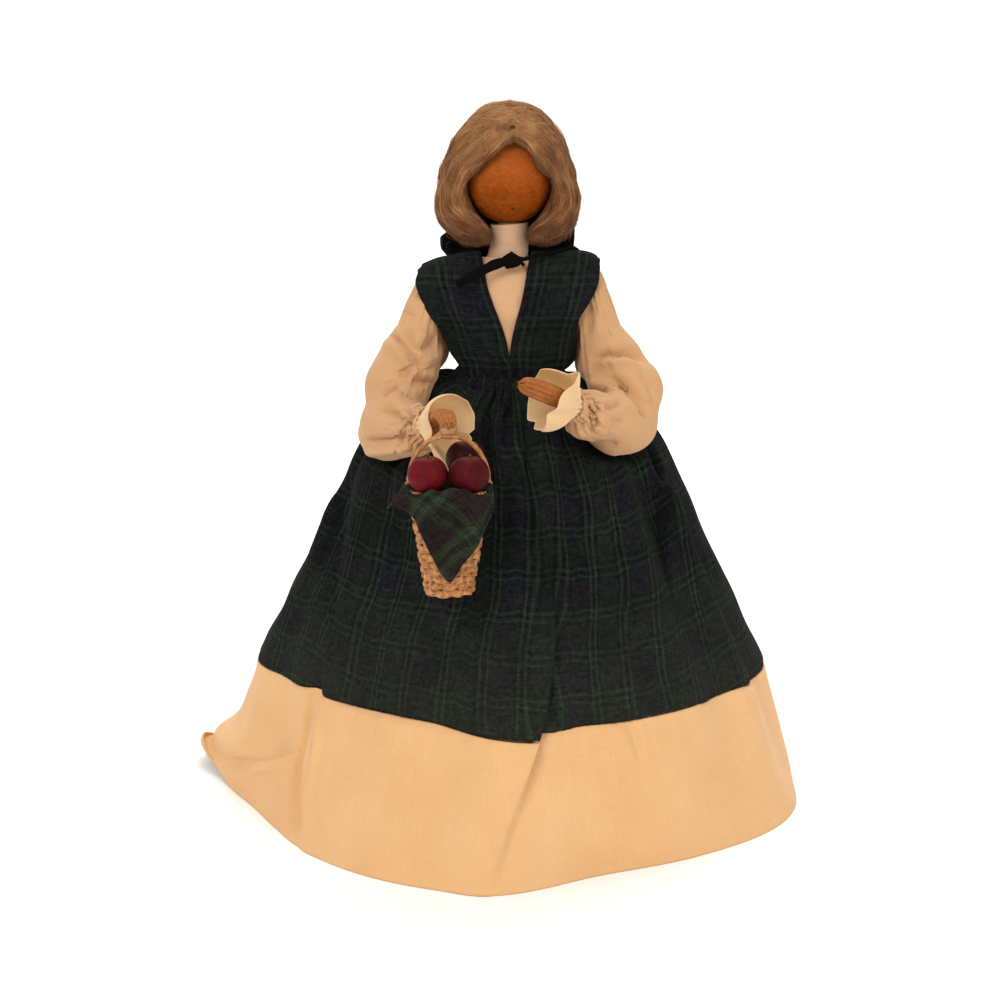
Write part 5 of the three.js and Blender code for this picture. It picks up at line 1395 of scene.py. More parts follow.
def lean(P):
    """The wool isn't alike on both sides: the parting leans to the doll's left, and the doll's right side is fuller low down."""
    x, y, z = P[..., 0], P[..., 1], P[..., 2]
    dx = 1.7 * smooth((z - 277) / 9.0) * smooth((-y - 6) / 6.0) - 1.7 * np.exp(-((z - 257) / 7.0) ** 2) * smooth((-x - 14) / 10.0)
    dx = dx - 1.8 * np.exp(-((z - 276) / 12.0) ** 2) * smooth((x - 16) / 9.0)
    out = np.stack([x + dx, y, z], -1)
    v_ = out - np.array([0, 0, HEAD_Z])
    dist = np.linalg.norm(v_, axis=-1, keepdims=True)
    return np.where(dist < HEAD_R + 0.25, np.array([0, 0, HEAD_Z]) + v_ / dist * (HEAD_R + 0.25), out)


def hair_side(name, sign, node, seed):
    r = np.random.default_rng(seed)
    parts = Parts()
    flipx = np.array([sign, 1.0, 1.0])
    # the mass of wool under the combed locks
    s, t = np.meshgrid(np.concatenate([np.linspace(-0.16, 0, 16)[:-1], np.linspace(0, 1.0, 60)]), np.linspace(0.0, 1.0, 60))
    P, D = hair_point(s, t, -0.8 + 0.25 * np.sin(s * 90 + 3 * np.sin(t * 5)))
    P = lean(P * flipx)
    # painted shade: the wool mass is darker along the face edge and on the inner wall round the face, where shade falls
    UV = np.stack([0.30 + 0.2 * np.sin(s * 57) ** 2 - 0.25 * (s < 0.05), t * 60], -1)
    v_, f_, uv_ = grid_parts(P, UV, flip=facing(P, C0))
    parts.add(v_, f_, uv_)

    def painted_shade_and_tufts(P):
        """Painted shade and light on the wool: darker towards the tips and low down, beside the face and on the doll's
        left side, lighter on the crown, with uneven tufts that vary at random.
        """
        ball = np.linalg.norm(P - np.array([0, 0, HEAD_Z]), axis=-1)
        tuft = 0.16 * WOB_H(P + 17 * sign, 9.0) + 0.10 * WOB_H(P - 31 * sign, 4.5)
        return 0.12 - 0.22 * smooth((P[..., 2] - 284) / 12.0) + 0.34 * smooth((266 - P[..., 2]) / 18.0) + 0.46 * smooth((27.0 - ball) / 6.0) * smooth((6 - P[..., 1]) / 12.0) * smooth((291 - P[..., 2]) / 12.0) + tuft + (0.05 if sign > 0 else 0.0)

    def locks(P, D, wid, tone, k):
        n, m = P.shape[:2]
        tan = unit(np.gradient(P, axis=1))
        nrm = unit(D - tan * (D * tan).sum(-1, keepdims=True))
        side = np.cross(tan, nrm)
        ra = r.normal(0, 0.6, n)[:, None, None]
        side = side * np.cos(ra) + nrm * np.sin(ra)
        A, B = P - side * wid[..., None], P + side * wid[..., None]
        V_ = lean(np.stack([A, B], 2) * flipx)
        base = (np.arange(n) * m * 2)[:, None] + (np.arange(m - 1) * 2)[None, :]
        F_ = np.stack([base, base + 1, base + 3, base + 2], -1).reshape(-1, 4)
        sl = (k * 62)[None, :] + r.uniform(0, 400, n)[:, None]
        du = 0.012
        # the strand's own tone less the painted shade and light
        tn = np.clip(tone[:, None] - painted_shade_and_tufts(P), 0.02, 0.98)
        UVL = np.stack([np.stack([tn - du, sl], -1), np.stack([tn + du, sl], -1)], 2)
        loops = np.stack([UVL[:, :-1, 0], UVL[:, :-1, 1], UVL[:, 1:, 1], UVL[:, 1:, 0]], 2).reshape(-1, 4, 2)
        parts.add(V_.reshape(-1, 3), F_, loops)

    # combed fibres
    n, m = 8200, 16
    s0 = np.where(r.random(n) < 0.14, r.uniform(-0.16, 0.0, n), r.uniform(0.0, 1.0, n))
    t0 = r.uniform(0.0, 0.06, n) * (r.random(n) < 0.7) + r.uniform(0.0, 0.5, n) * (r.random(n) < 0.35)
    t1 = np.minimum(1.0, r.uniform(0.90, 1.05, n) - 0.45 * (r.random(n) < 0.2) * r.random(n))
    k = np.linspace(0, 1, m)
    T = t0[:, None] + (t1 - t0)[:, None] * k[None, :]
    drift = r.normal(0, 0.034, n)[:, None] * np.sin(k[None, :] * np.pi * r.uniform(0.5, 1.6, n)[:, None]) + r.normal(0, 0.010, n)[:, None] * np.sin(k[None, :] * 9 + r.uniform(0, 6, n)[:, None])
    Sx = np.clip(s0[:, None] + drift * np.where(s0[:, None] < 0, 0.4, 1.0), -0.16, 1.0)
    lift = r.gamma(2.0, 0.20, n)[:, None] * (0.35 + 0.65 * np.sin(np.pi * k[None, :])) - 0.35
    stray = (r.random(n) < 0.06)[:, None] * r.uniform(0.4, 1.3, n)[:, None] * np.sin(np.pi * np.clip(k[None, :] * 1.2, 0, 1)) ** 2
    P, D = hair_point(Sx, T, lift + stray)
    wave = np.stack([WOB_H(P, 13.0), WOB_H(P + 91, 15.0), WOB_H(P + 37, 17.0)], -1) * 0.7
    frizz = r.normal(0, 1, (n, 1, 3)) * np.sin(k[None, :, None] * r.uniform(10, 26, (n, 1, 1)) + r.uniform(0, 6, (n, 1, 1))) * 0.30
    wave = wave + frizz
    P = P + wave * np.sin(np.pi * k)[None, :, None] ** 0.5
    wid = r.uniform(0.04, 0.14, n)[:, None] * (np.minimum(1, 6 * k) * np.minimum(1, 7 * (1 - k)) * 0.85 + 0.15)[None, :]
    tone = np.clip(r.normal(0.60, 0.13, n) + 0.05 * np.sin(s0 * 40), 0.02, 0.98)
    locks(P, D, wid, tone, k)
    # loose short fibres in all directions over the surface
    n, m = 8000, 8
    k = np.linspace(0, 1, m)
    s0, t0 = r.uniform(-0.10, 1.0, n), r.uniform(0.0, 0.95, n)
    T = np.clip(t0[:, None] + (k[None, :] - 0.5) * r.uniform(0.03, 0.16, n)[:, None], 0, 1)
    Sx = np.clip(s0[:, None] + (k[None, :] - 0.5) * r.normal(0, 0.14, n)[:, None] + r.normal(0, 0.012, n)[:, None] * np.sin(k[None, :] * 6), -0.12, 1.0)
    P, D = hair_point(Sx, T, r.gamma(2.0, 0.28, n)[:, None] * np.sin(np.pi * k)[None, :] ** 0.5 - 0.15)
    wid = r.uniform(0.03, 0.08, n)[:, None] * (np.minimum(1, 5 * k) * np.minimum(1, 5 * (1 - k)) * 0.85 + 0.15)[None, :]
    locks(P, D, wid, np.clip(r.normal(0.66, 0.14, n), 0.02, 0.98), k)
    # short fibres that cross the parting on the crown, above the pin
    n, m = 700, 12
    k = np.linspace(0, 1, m)
    bet = np.radians(r.uniform(58, 150, n))[:, None]
    lat = np.radians(r.uniform(-12, 34, n)[:, None] + r.uniform(18, 46, n)[:, None] * (k[None, :] - 0.5))
    bet = bet + np.radians(r.normal(0, 9, n))[:, None] * (k[None, :] - 0.5) * 2
    D = unit(np.stack([np.sin(lat), -np.cos(lat) * np.cos(bet), np.cos(lat) * np.sin(bet)], -1))
    P = C0 + D * (hair_surface(D) + (r.gamma(2.0, 0.2, n)[:, None] - 0.1) * np.sin(np.pi * k)[None, :] ** 0.7 - 0.25)[..., None]
    wid = r.uniform(0.05, 0.16, n)[:, None] * (np.minimum(1, 6 * k) * np.minimum(1, 6 * (1 - k)) * 0.85 + 0.15)[None, :]
    locks(P, D, wid, np.clip(r.normal(0.6, 0.15, n), 0.02, 0.98), k)
    ob = parts.build(name, [WOOL])
    stand_for(ob, "wool", node)
    return ob


hair_r = hair_side("hair_wool_right", -1.0, "hair_right", 5)
hair_l = hair_side("hair_wool_left", 1.0, "hair_left", 6)
pin_parts = Parts()
dpin = unit(PIN_AT - C0)
pc = PIN_AT + dpin * 0.5
axis = dpin
e1 = unit(np.cross(axis, [1, 0, 0]))
e2 = np.cross(axis, e1)
ang = TAU * np.arange(20) / 20
prof = [(0.02, 0.75), (0.45, 0.68), (0.85, 0.42), (1.0, 0.05), (0.85, -0.2), (0.4, -0.35), (0.32, -1.0), (0.02, -1.1)]
rows = np.stack([pc + axis * h + (e1 * np.cos(ang)[:, None] + e2 * np.sin(ang)[:, None]) * rad for rad, h in prof], 0)
v, f, uv = grid_parts(rows, np.zeros((len(prof), 21, 2)), closed=True, flip=facing(rows, pc, True))
pin_parts.add(v, f, uv)
pin = pin_parts.build("hair_pin_head", [PIN])
stand_for(pin, "pin", "hair_pin")


# ------------------------------------------------------------------ sleeves
def cone_sdf(p, a, b, ra, rb):
    ab = b - a
    t = np.clip(((p - a) @ ab) / (ab @ ab), 0, 1)
    return np.linalg.norm(p - (a + t[..., None] * ab), axis=-1) - (ra + (rb - ra) * t)


def soft_min(a, b, k):
    h = np.clip(0.5 + 0.5 * (b - a) / k, 0, 1)
    return b + (a - b) * h - k * h * (1 - h)


def sleeve_mesh(arm, sag, grow, puffs=()):
    """A puffed sleeve as a grid: rows from the armhole to the wrist, columns round the arm."""
    S_, E_, W_, U_, F_ = (arm[k] for k in "SEWUF")
    r = arm["ball"] + grow
    bag = E_ + np.array(sag, float)
    top = S_ + U_ * 1.4
    mid = E_ + U_ * arm["upper"] * 0.42

    def sdf(p):
        d = soft_min(cone_sdf(p, top, mid, 6.8, r - 1.4), cone_sdf(p, mid, E_, r - 1.4, r - 0.4), 3.0)
        d = soft_min(d, cone_sdf(p, E_, E_ + F_ * (arm["fore"] - 12), r - 0.2, r * 0.80), 3.0)
        d = soft_min(d, cone_sdf(p, E_ + F_ * (arm["fore"] - 14), W_ - F_ * 0.5, r * 0.76, 5.6), 4.0)
        d = soft_min(d, np.linalg.norm(p - bag, axis=-1) - (r - 1.2), 6.0)
        for c, rad in puffs:
            d = soft_min(d, np.linalg.norm(p - np.array(c, float), axis=-1) - rad, 5.0)
        return d

    inner = unit(U_ + F_)
    pts = [top, S_ - U_ * arm["upper"] * 0.25, S_ - U_ * arm["upper"] * 0.55 + inner * 1.5, E_ + U_ * 13 + inner * 3.0, E_ + inner * 8.5,
           E_ + F_ * 13 + inner * 3.0, E_ + F_ * (arm["fore"] * 0.62) + inner * 1.0, E_ + F_ * (arm["fore"] - 6), W_]
    rows, cols = 132, 104
    path = spline(pts, rows)
    t, n, b = frames_along(path, up=arm["axis"])
    a = TAU * np.arange(cols) / cols
    d = n[:, None] * np.cos(a)[None, :, None] + b[:, None] * np.sin(a)[None, :, None]
    lo, hi = np.full((rows, cols), 0.5), np.full((rows, cols), 40.0)
    step = np.linspace(0.5, 40, 90)
    dist = np.full((rows, cols), 0.5)
    for _ in range(60):
        p = path[:, None] + d * dist[..., None]
        dist = np.clip(dist - 0.85 * sdf(p), 0.5, 40)
    P = path[:, None] + d * dist[..., None]
    return P, path, d, dist


def simulate_sleeve(P, arm, seed):
    """Cloth that is a little too big for the puff, so that it buckles into soft wrinkles. Both ends are held."""
    rows, cols = P.shape[:2]
    r = np.random.default_rng(seed)
    k = 20.0                              # simulated larger, where the solver is at home
    c0 = P.reshape(-1, 3).mean(0)
    vv, ff, _ = grid_parts((P - c0) * k, None, closed=True, flip=facing(P, arm["E"], True))
    ob = make("sim_sleeve", vv, ff)
    ob.data.vertices.foreach_get("co", np.zeros(len(vv) * 3, np.float32))
    g = ob.vertex_groups.new(name="pin")
    row = np.repeat(np.arange(rows), cols)
    for idx, wgt in ((np.where((row < 3) | (row >= rows - 3))[0], 1.0), (np.where(((row >= 3) & (row < 7)) | ((row >= rows - 6) & (row < rows - 3)))[0], 0.4)):
        g.add([int(i) for i in idx], wgt, "REPLACE")
    m = ob.modifiers.new("cloth", "CLOTH")
    cs = m.settings
    cs.quality = 6
    cs.mass = 0.25
    cs.tension_stiffness = 12
    cs.compression_stiffness = 12
    cs.shear_stiffness = 4
    cs.bending_stiffness = 0.22
    cs.tension_damping = cs.compression_damping = cs.shear_damping = 8
    cs.bending_damping = 0.8
    cs.air_damping = 3.0
    cs.vertex_group_mass = "pin"
    cs.shrink_min = -0.13
    cs.use_pressure = True
    cs.uniform_pressure_force = 0.45
    cs.effector_weights.gravity = 0.2
    m.collision_settings.use_collision = False
    m.collision_settings.use_self_collision = False
    m.point_cache.frame_start, m.point_cache.frame_end = 1, 40
    scene.frame_start, scene.frame_end = 1, 40
    for fr in range(1, 27):
        scene.frame_set(fr)
    dg = bpy.context.evaluated_depsgraph_get()
    e = ob.evaluated_get(dg)
    me = e.to_mesh()
    co = np.zeros(len(me.vertices) * 3, np.float32)
    me.vertices.foreach_get("co", co)
    e.to_mesh_clear()
    out = co.reshape(rows, cols, 3).astype(float) * 1000 / k + c0
    old = ob.data
    bpy.data.objects.remove(ob)
    bpy.data.meshes.remove(old)
    scene.frame_set(1)
    move = out - P
    far = np.linalg.norm(move, axis=-1, keepdims=True)
    cap = 2.6
    return P + move * np.minimum(1, cap / np.maximum(far, 1e-9))


def finer(P):
    """The same grid with twice the rows and columns, on a smooth curve through the old points."""
    def mid(a, b, c, d):
        return (-a + 9 * b + 9 * c - d) / 16
    Q_ = np.zeros((P.shape[0], P.shape[1] * 2, 3))
    Q_[:, 0::2] = P
    Q_[:, 1::2] = mid(np.roll(P, 1, 1), P, np.roll(P, -1, 1), np.roll(P, -2, 1))
    E_ = np.concatenate([2 * Q_[:1] - Q_[1:2], Q_, 2 * Q_[-1:] - Q_[-2:-1]], 0)
    out = np.zeros((Q_.shape[0] * 2 - 1, Q_.shape[1], 3))
    out[0::2] = Q_
    out[1::2] = mid(E_[:-3], E_[1:-2], E_[2:-1], E_[3:])
    return out


def build_sleeve(side, seed, sag, name, grow, puffs, folds):
    arm = ARMS[side]
    P, path, d, dist = sleeve_mesh(arm, sag, grow, puffs)
    P = simulate_sleeve(P, arm, seed)
    P, path, d = finer(P), spline(path, len(path) * 2 - 1), finer(d)
    rows, cols = P.shape[:2]
    # gathers drawn into the wrist, and a few into the armhole
    a = TAU * np.arange(cols) / cols
    along = np.concatenate([[0], np.cumsum(np.linalg.norm(np.diff(path, axis=0), axis=1))])
    left = (along[-1] - along)[:, None]
    ph = 15 * a + 1.3 * np.sin(3 * a + seed) + 0.8 * np.sin(5 * a + 2 * seed)
    pl = (np.abs(np.cos(ph / 2)) ** 0.8 - 0.6)[None, :] * (0.9 * np.exp(-((left - 4.0) / 5.0) ** 2) + 0.4 * np.exp(-left / 2.0) + 0.3 * np.exp(-((left - 12) / 8.0) ** 2))
    n = grid_normals(P, closed=True)
    n = n * np.sign((n * d).sum(-1, keepdims=True) + 1e-9)
    P = press_folds(P, n, folds)
    P = P + n * pl[..., None]
    ph2 = 9 * a + 0.8 * np.sin(2 * a + seed)
    P = P + n * ((np.abs(np.cos(ph2 / 2)) - 0.6)[None, :] * 0.8 * np.exp(-along[:, None] / 10.0))[..., None]
    # the head of the sleeve is drawn together under the shoulder
    ctr = P[0].mean(0)
    cap = [ctr + arm["U"] * h + (P[0] - ctr) * k_ for k_, h in ((0.06, 2.6), (0.3, 2.9), (0.58, 2.7), (0.80, 1.9), (0.94, 0.9))]
    P = np.concatenate([np.array(cap), P], 0)
    along = np.concatenate([along[0] + np.array([-8.2, -6.6, -4.6, -2.8, -1.3]), along])
    UV = np.stack(np.broadcast_arrays((np.arange(cols + 1) / cols * 84.0)[None, :], along[:, None]), -1)
    vv, ff, uvv = grid_parts(P, UV, closed=True, flip=facing(P, arm["E"] + unit(arm["U"] + arm["F"]) * 6, True))
    ob = make(name, vv, ff, uvv.reshape(-1, 2), [SLEEVE])
    thicken(ob, 0.5)
    inner = unit(arm["U"] + arm["F"])
    axis = unit(arm["F"] - arm["U"])
    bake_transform(ob)
    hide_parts(f"{side}_upper_sleeve", f"{side}_lower_sleeve")
    return ob, P


# Lines of the pressed-in folds, as they run in the camera's picture: points, depth, half-width, side that stands up.
FOLDS_R = [
    ([(387.7, 333.1), (399.8, 341.4), (410.0, 352.2), (416.4, 361.2), (422.8, 370.7)], 3.4, 1.7, -1),
    ([(404.5, 367.0), (408.0, 376.0)], 2.8, 3.6, 0),
    ([(381.9, 395.6), (392.2, 389.9), (399.8, 386.0)], 2.2, 1.3, -1),
    ([(374.0, 410.5), (389.6, 409.0), (399.8, 417.9), (411.3, 424.3), (418.3, 427.5)], 3.0, 2.2, -1),
    ([(407.5, 403.9), (410.0, 412.8), (416.4, 420.4), (420.2, 423.0)], 2.4, 1.7, 1),
    ([(360.3, 441.5), (370.5, 441.9), (387.1, 440.2), (402.4, 437.7), (415.1, 435.8)], 3.6, 1.7, -1),
    ([(408.8, 323.6), (409.5, 336.5), (416.4, 345.2), (427.0, 346.5), (433.0, 342.7), (438.8, 333.8)], 2.8, 2.2, 0),
    ([(411.3, 380.9), (426.6, 383.5), (430.0, 387.3)], 2.2, 1.7, 0),
    ([(400.0, 312.0), (408.0, 313.0), (416.0, 318.0)], 1.2, 1.8, 0),
]
FOLDS_L = [
    ([(591.2, 363.0), (598.0, 357.2), (607.0, 353.3), (617.0, 353.8), (626.0, 352.8), (636.0, 356.5), (646.0, 361.0)], 3.4, 1.6, -1),
    ([(604.7, 377.0), (615.0, 380.5), (624.0, 386.5), (631.7, 393.5), (639.4, 401.8), (643.8, 410.7), (645.0, 421.0)], 3.4, 2.1, -1),
    ([(586.0, 392.0), (598.3, 392.4), (607.3, 395.0), (612.4, 398.2)], 2.4, 1.6, 0),
    ([(602.2, 405.9), (612.4, 407.2), (621.4, 403.3)], 2.0, 1.7, 0),
    ([(609.0, 419.5), (617.0, 420.5), (623.5, 417.0)], 1.6, 1.7, 0),
    ([(640.6, 367.4), (644.5, 379.0), (650.9, 389.2), (653.5, 398.2), (652.8, 411.0)], 2.0, 2.0, 0),
    ([(590.5, 403.6), (593.5, 417.4), (597.0, 430.3)], 2.6, 1.8, 0),
    ([(579.7, 422.6), (589.9, 427.7)], 2.0, 1.5, 0),
    ([(585.8, 441.0), (594.5, 444.0), (608.1, 445.6), (620.0, 444.6)], 2.0, 1.8, -1),
    ([(590.6, 302.0), (590.0, 312.3), (588.1, 323.8), (584.9, 334.1)], 2.4, 1.7, 0),
]
sleeve_r, PSR = build_sleeve("right", 3, (3.0, -8.0, 4.4), "sleeve_right", -1.6, [((-42.5, -12.5, 200.0), 12.8), ((-37.5, -5.0, 218.0), 8.4), ((-48.8, -16.5, 189.0), 12.8), ((-33.9, -4.0, 201.5), 7.0)], FOLDS_R)
sleeve_l, PSL = build_sleeve("left", 8, (-5.0, -8.0, 0.0), "sleeve_left", -2.8, [((44.5, -14.0, 199.0), 12.2), ((50.5, -21.0, 187.5), 14.4), ((36.4, -6.0, 197.5), 7.6), ((36.2, -5.5, 204.5), 7.0)], FOLDS_L)



# ------------------------------------------------------------------ cuffs, threads and hands
def round_table(rows, a):
    """A smooth closed curve through (degrees, value) rows."""
    rows = sorted(rows)
    ext = [(d - 360, v_) for d, v_ in rows[-3:]] + rows + [(d + 360, v_) for d, v_ in rows[:3]]
    return tab(ext, np.degrees(a) % 360)


def build_cuff(side, axis, rim, bell, flutes, seed, name):
    """A gathered ruffle beyond the wrist thread. rim rows: degrees from the top towards the viewer, length along the axis, radius."""
    arm = ARMS[side]
    W_, F_ = arm["W"], arm["F"]
    n_a, n_s = 280, 44
    a = TAU * np.arange(n_a) / n_a
    s = np.linspace(0, 1, n_s)
    L = round_table([(d_, l_) for d_, l_, r_ in rim], a)
    R = round_table([(d_, r_) for d_, l_, r_ in rim], a)
    n_f, amp = flutes
    ph = n_f * a + 0.9 * np.sin(2 * a + seed) + 0.5 * np.sin(3 * a + 2.0 * seed)
    P = np.zeros((n_s, n_a, 3))
    for j, x in enumerate(s):
        A_ = unit(F_ + (unit(axis) - F_) * float(smooth(x / 0.35)))
        e1 = unit(np.array([0, 0, 1.0]) - A_ * A_[2])
        e2 = np.cross(A_, e1)
        ref = np.cross(unit(axis), [0, 0, 1.0])
        turn = 1 if ref[1] < 0 else -1
        e2 = e2 * turn
        neck = 4.5 + 1.1 * math.exp(-(x / 0.05) ** 2)
        g = max(x - 0.06, 0) / 0.94
        rad = neck + (R - 4.5) * (1 - (1 - g) ** bell) + amp * np.sin(ph) * g + 0.3 * np.sin(15 * a + seed) * math.exp(-((x - 0.1) / 0.12) ** 2)
        ln = -1.3 + 1.5 * min(x / 0.06, 1.0) + L * g ** 1.15 + amp * np.cos(ph + 0.6) * g
        P[j] = W_ + e1 * (rad * np.cos(a))[:, None] + e2 * (rad * np.sin(a))[:, None] + A_ * ln[:, None]
    P = P + 0.3 * np.stack([WOB_B(P, 9.0), WOB_B(P + 20, 9.0), WOB_B(P + 40, 9.0)], -1) * s[:, None, None]
    UV = np.stack(np.broadcast_arrays((np.arange(n_a + 1) / n_a * 100.0)[None, :], (s * 16.0)[:, None]), -1)
    vv, ff, uvv = grid_parts(P, UV, closed=True)
    ob = make(name, vv, ff, uvv.reshape(-1, 2), [CUFF])
    thicken(ob, 0.35, 0.0)
    stand_for(ob, "muslin", f"{side}_cuff_ruffle")
    return ob


cuff_r = build_cuff("right", (0.75, -0.64, -0.10), [(0, 9.5, 14.8), (40, 7.5, 12.6), (70, 7.5, 8.2), (100, 8, 7.0), (140, 9, 8.8), (164, 11, 11.0), (173, 12.4, 14.0), (180, 13, 16.4), (187, 12.8, 14.0), (197, 12.4, 11.2), (225, 12, 11.2), (248, 12.4, 13.4), (256, 11.2, 12.4), (268, 12.5, 13.6), (320, 11, 14.6)],
                    1.9, (4, 0.3), 1.0, "cuff_right")
cuff_l = build_cuff("left", (-0.88, -0.45, 0.10), [(0, 13, 14.4), (13, 10.5, 14.0), (24, 7.5, 13.8), (33, 3.5, 16.4), (43, 4.5, 14.5), (58, 9.5, 11.2), (75, 11.5, 10.0), (92, 12.5, 9.4), (112, 14.5, 8.6), (135, 15.0, 9.4),
                    (160, 13.5, 11.2), (178, 12.5, 10.4), (195, 15, 10.8), (208, 13.6, 9.2), (224, 15.5, 10.4), (255, 14.2, 9.6), (285, 14.5, 10.2), (320, 13.5, 12.5), (345, 13, 14)],
                    2.2, (6, 0.3), 2.3, "cuff_left")
for side in ("right", "left"):
    arm = ARMS[side]
    W_, F_ = arm["W"], arm["F"]
    e1 = unit(np.array([0, 0, 1.0]) - F_ * F_[2])
    e2 = np.cross(F_, e1)
    t = np.linspace(0, TAU * 3.2, 160)
    rad = 5.75 + 0.12 * np.sin(5 * t)
    pth = W_ + e1 * (rad * np.cos(t))[:, None] + e2 * (rad * np.sin(t))[:, None] + F_ * (-2.0 + 1.6 * t / t[-1])[:, None]
    parts = Parts()
    add_tube(parts, pth, 0.3, sides=8, up=F_)
    th_ob = parts.build(f"wrist_thread_{side}", [THREAD])
    stand_for(th_ob, "thread", f"{side}_wrist_thread")


def build_hand(side, points, sideways, width, thick, name, grooves):
    arm = ARMS[side]
    pts = [arm["W"] - arm["F"] * 2.0, arm["W"] + arm["F"] * 3.5] + [np.array(p, float) for p in points]
    rows, cols = 110, 88
    path = spline(pts, rows)
    t = unit(np.gradient(path, axis=0))
    side_v = np.array(sideways, float)
    n = unit(side_v - t * (t @ side_v)[:, None])
    b = np.cross(t, n)
    k = np.linspace(0, 1, rows)
    wa = tab([(0, 4.0), (0.25, 3.9), (0.5, width), (0.78, width * 0.97), (0.9, width * 0.84), (0.97, width * 0.58), (1, width * 0.2)], k)
    wb = tab([(0, 3.4), (0.25, 3.2), (0.5, thick), (0.85, thick * 0.95), (0.95, thick * 0.72), (1, thick * 0.22)], k)
    a = TAU * np.arange(cols) / cols
    ca, sa = np.cos(a), np.sin(a)
    pw = 0.8
    x = np.sign(ca) * np.abs(ca) ** pw
    y = np.sign(sa) * np.abs(sa) ** pw
    X = x[None, :] * wa[:, None]
    Y = y[None, :] * wb[:, None]
    # carved lines between the fingers, on both faces, and notched tips
    w = width
    for gx, g0, depth_g in grooves:
        start = smooth((k - g0) / 0.14)[:, None]
        cutd = np.exp(-((X / wa[:, None] - gx) / 0.10) ** 2) * start
        Y = Y * (1 - depth_g * cutd)
    tips = 0.9 * np.cos((X / wa[:, None]) * 7.0)
    push = smooth((k - 0.9) / 0.1)[:, None] * (tips - (X / wa[:, None]) ** 2 * 1.2)
    P = path[:, None] + n[:, None] * X[..., None] + b[:, None] * Y[..., None] + t[:, None] * push[..., None]
    P = P + 0.10 * np.stack([WOB_B(P, 6.0), WOB_B(P + 20, 6.0), WOB_B(P + 40, 6.0)], -1)
    ends = np.stack([P[0].mean(0)[None].repeat(cols, 0), P[-1].mean(0)[None].repeat(cols, 0) + t[-1] * 0.15], 0)
    G = np.concatenate([ends[:1], P, ends[1:]], 0)
    UV = np.stack(np.broadcast_arrays(np.arange(cols + 1)[None, :] * 0.3, np.arange(rows + 2)[:, None] * 0.3), -1)
    vv, ff, uvv = grid_parts(G, UV, closed=True, flip=facing(G, path[rows // 2], True))
    ob = make(name, vv, ff, uvv.reshape(-1, 2), [HAND_WOOD])
    stand_for(ob, "hand_wood", f"{side}_hand")
    return ob


GROOVES = [(-0.5, 0.46, 0.26), (0.0, 0.42, 0.30), (0.5, 0.46, 0.26)]
hand_r = build_hand("right", [(-28.6, -73.5, 183.2), (-26.4, -80.5, 185.2), (-24.4, -87, 183.2), (-23.8, -90.5, 181.6)], (0.95, 0.25, 0), 4.0, 2.3, "hand_right", GROOVES)
hand_l = build_hand("left", [(19.5, -67.6, 189.6), (12.5, -71.4, 193.2), (7.2, -74, 195.6), (3.6, -76, 197)], (0.35, -0.3, 0.9), 4.3, 2.6, "hand_left", GROOVES)

# ------------------------------------------------------------------ basket
BX, BY = -24.2, -89.0
B_BOTTOM, B_RIM, B_RT, B_RB = 115.4, 157.5, 16.4, 9.6
HANDLE_TOP, HANDLE_R = 178.0, 1.05
wall_r = lambda z: B_RB + (B_RT - B_RB) * (z - B_BOTTOM) / (B_RIM - B_BOTTOM)
rng = np.random.default_rng(17)
parts = Parts()
N_ST = 18
rows_n = 14
for i in range(rows_n):
    z = B_BOTTOM + 1.0 + (B_RIM - 2.6 - B_BOTTOM - 1.6) * i / (rows_n - 1)
    a = TAU * np.arange(N_ST * 7) / (N_ST * 7)
    R = wall_r(z) - 0.75
    sign = 1 if i % 2 else -1
    rr = R + sign * 0.66 * np.cos(a * N_ST / 2) + 0.08 * rng.normal() + 0.05 * np.sin(a * 5 + i)
    zz = z + 0.2 * np.sin(a * 3 + i * 1.7) + 0.22 * np.sin(a * N_ST / 2 + i * np.pi)
    pth = np.stack([BX + rr * np.sin(a), BY - rr * np.cos(a), zz], -1)
    add_tube(parts, pth, 1.5 + 0.06 * rng.normal(), 0.62, sides=12, closed=True, up=(0, 0, 1), u0=rng.uniform(0, 50))
    # the strand of the second layer behind it
    rr = R - 1.0 + 0 * a
    add_tube(parts, np.stack([BX + rr * np.sin(a), BY - rr * np.cos(a), z + 1.2 + 0 * a], -1), 1.75, 0.3, sides=8, closed=True, up=(0, 0, 1), u0=rng.uniform(0, 50))
for j in range(N_ST):
    a = TAU * (j + 0.5) / N_ST * 1.0
    zz = np.linspace(B_BOTTOM + 0.4, B_RIM - 1.2, 60)
    ph = (zz - B_BOTTOM - 1.0) / ((B_RIM - 2.6 - B_BOTTOM - 1.6) / (rows_n - 1))
    rr = wall_r(zz) - 0.75 - 0.45 * np.cos(np.pi * ph) * np.cos(a * N_ST / 2 + 0.0)
    pth = np.stack([BX + rr * np.sin(a), BY - rr * np.cos(a), zz], -1)
    add_tube(parts, pth, 0.85, 0.45, sides=8, up=(math.cos(a), math.sin(a), 0), u0=rng.uniform(0, 50))
# woven bottom: crossed splints under a spiral
for j in range(6):
    a = np.pi * j / 6
    t = np.linspace(-1, 1, 24)
    pth = np.stack([BX + t * 8.6 * np.sin(a), BY - t * 8.6 * np.cos(a), np.full(24, B_BOTTOM + 0.95) + 0.25 * np.sin(t * 9 + j)], -1)
    add_tube(parts, pth, 0.5, 1.0, sides=8, up=(0, 0, 1))
t = np.linspace(0, TAU * 5, 240)
rr = 1.0 + 8.0 * t / t[-1]
add_tube(parts, np.stack([BX + rr * np.sin(t), BY - rr * np.cos(t), B_BOTTOM + 0.85 + 0.25 * np.sin(t * 6)], -1), 0.5, 0.7, sides=8, up=(0, 0, 1))
basket = parts.build("basket_weave", [STRAW])
stand_for(basket, "straw", "basket_shell")

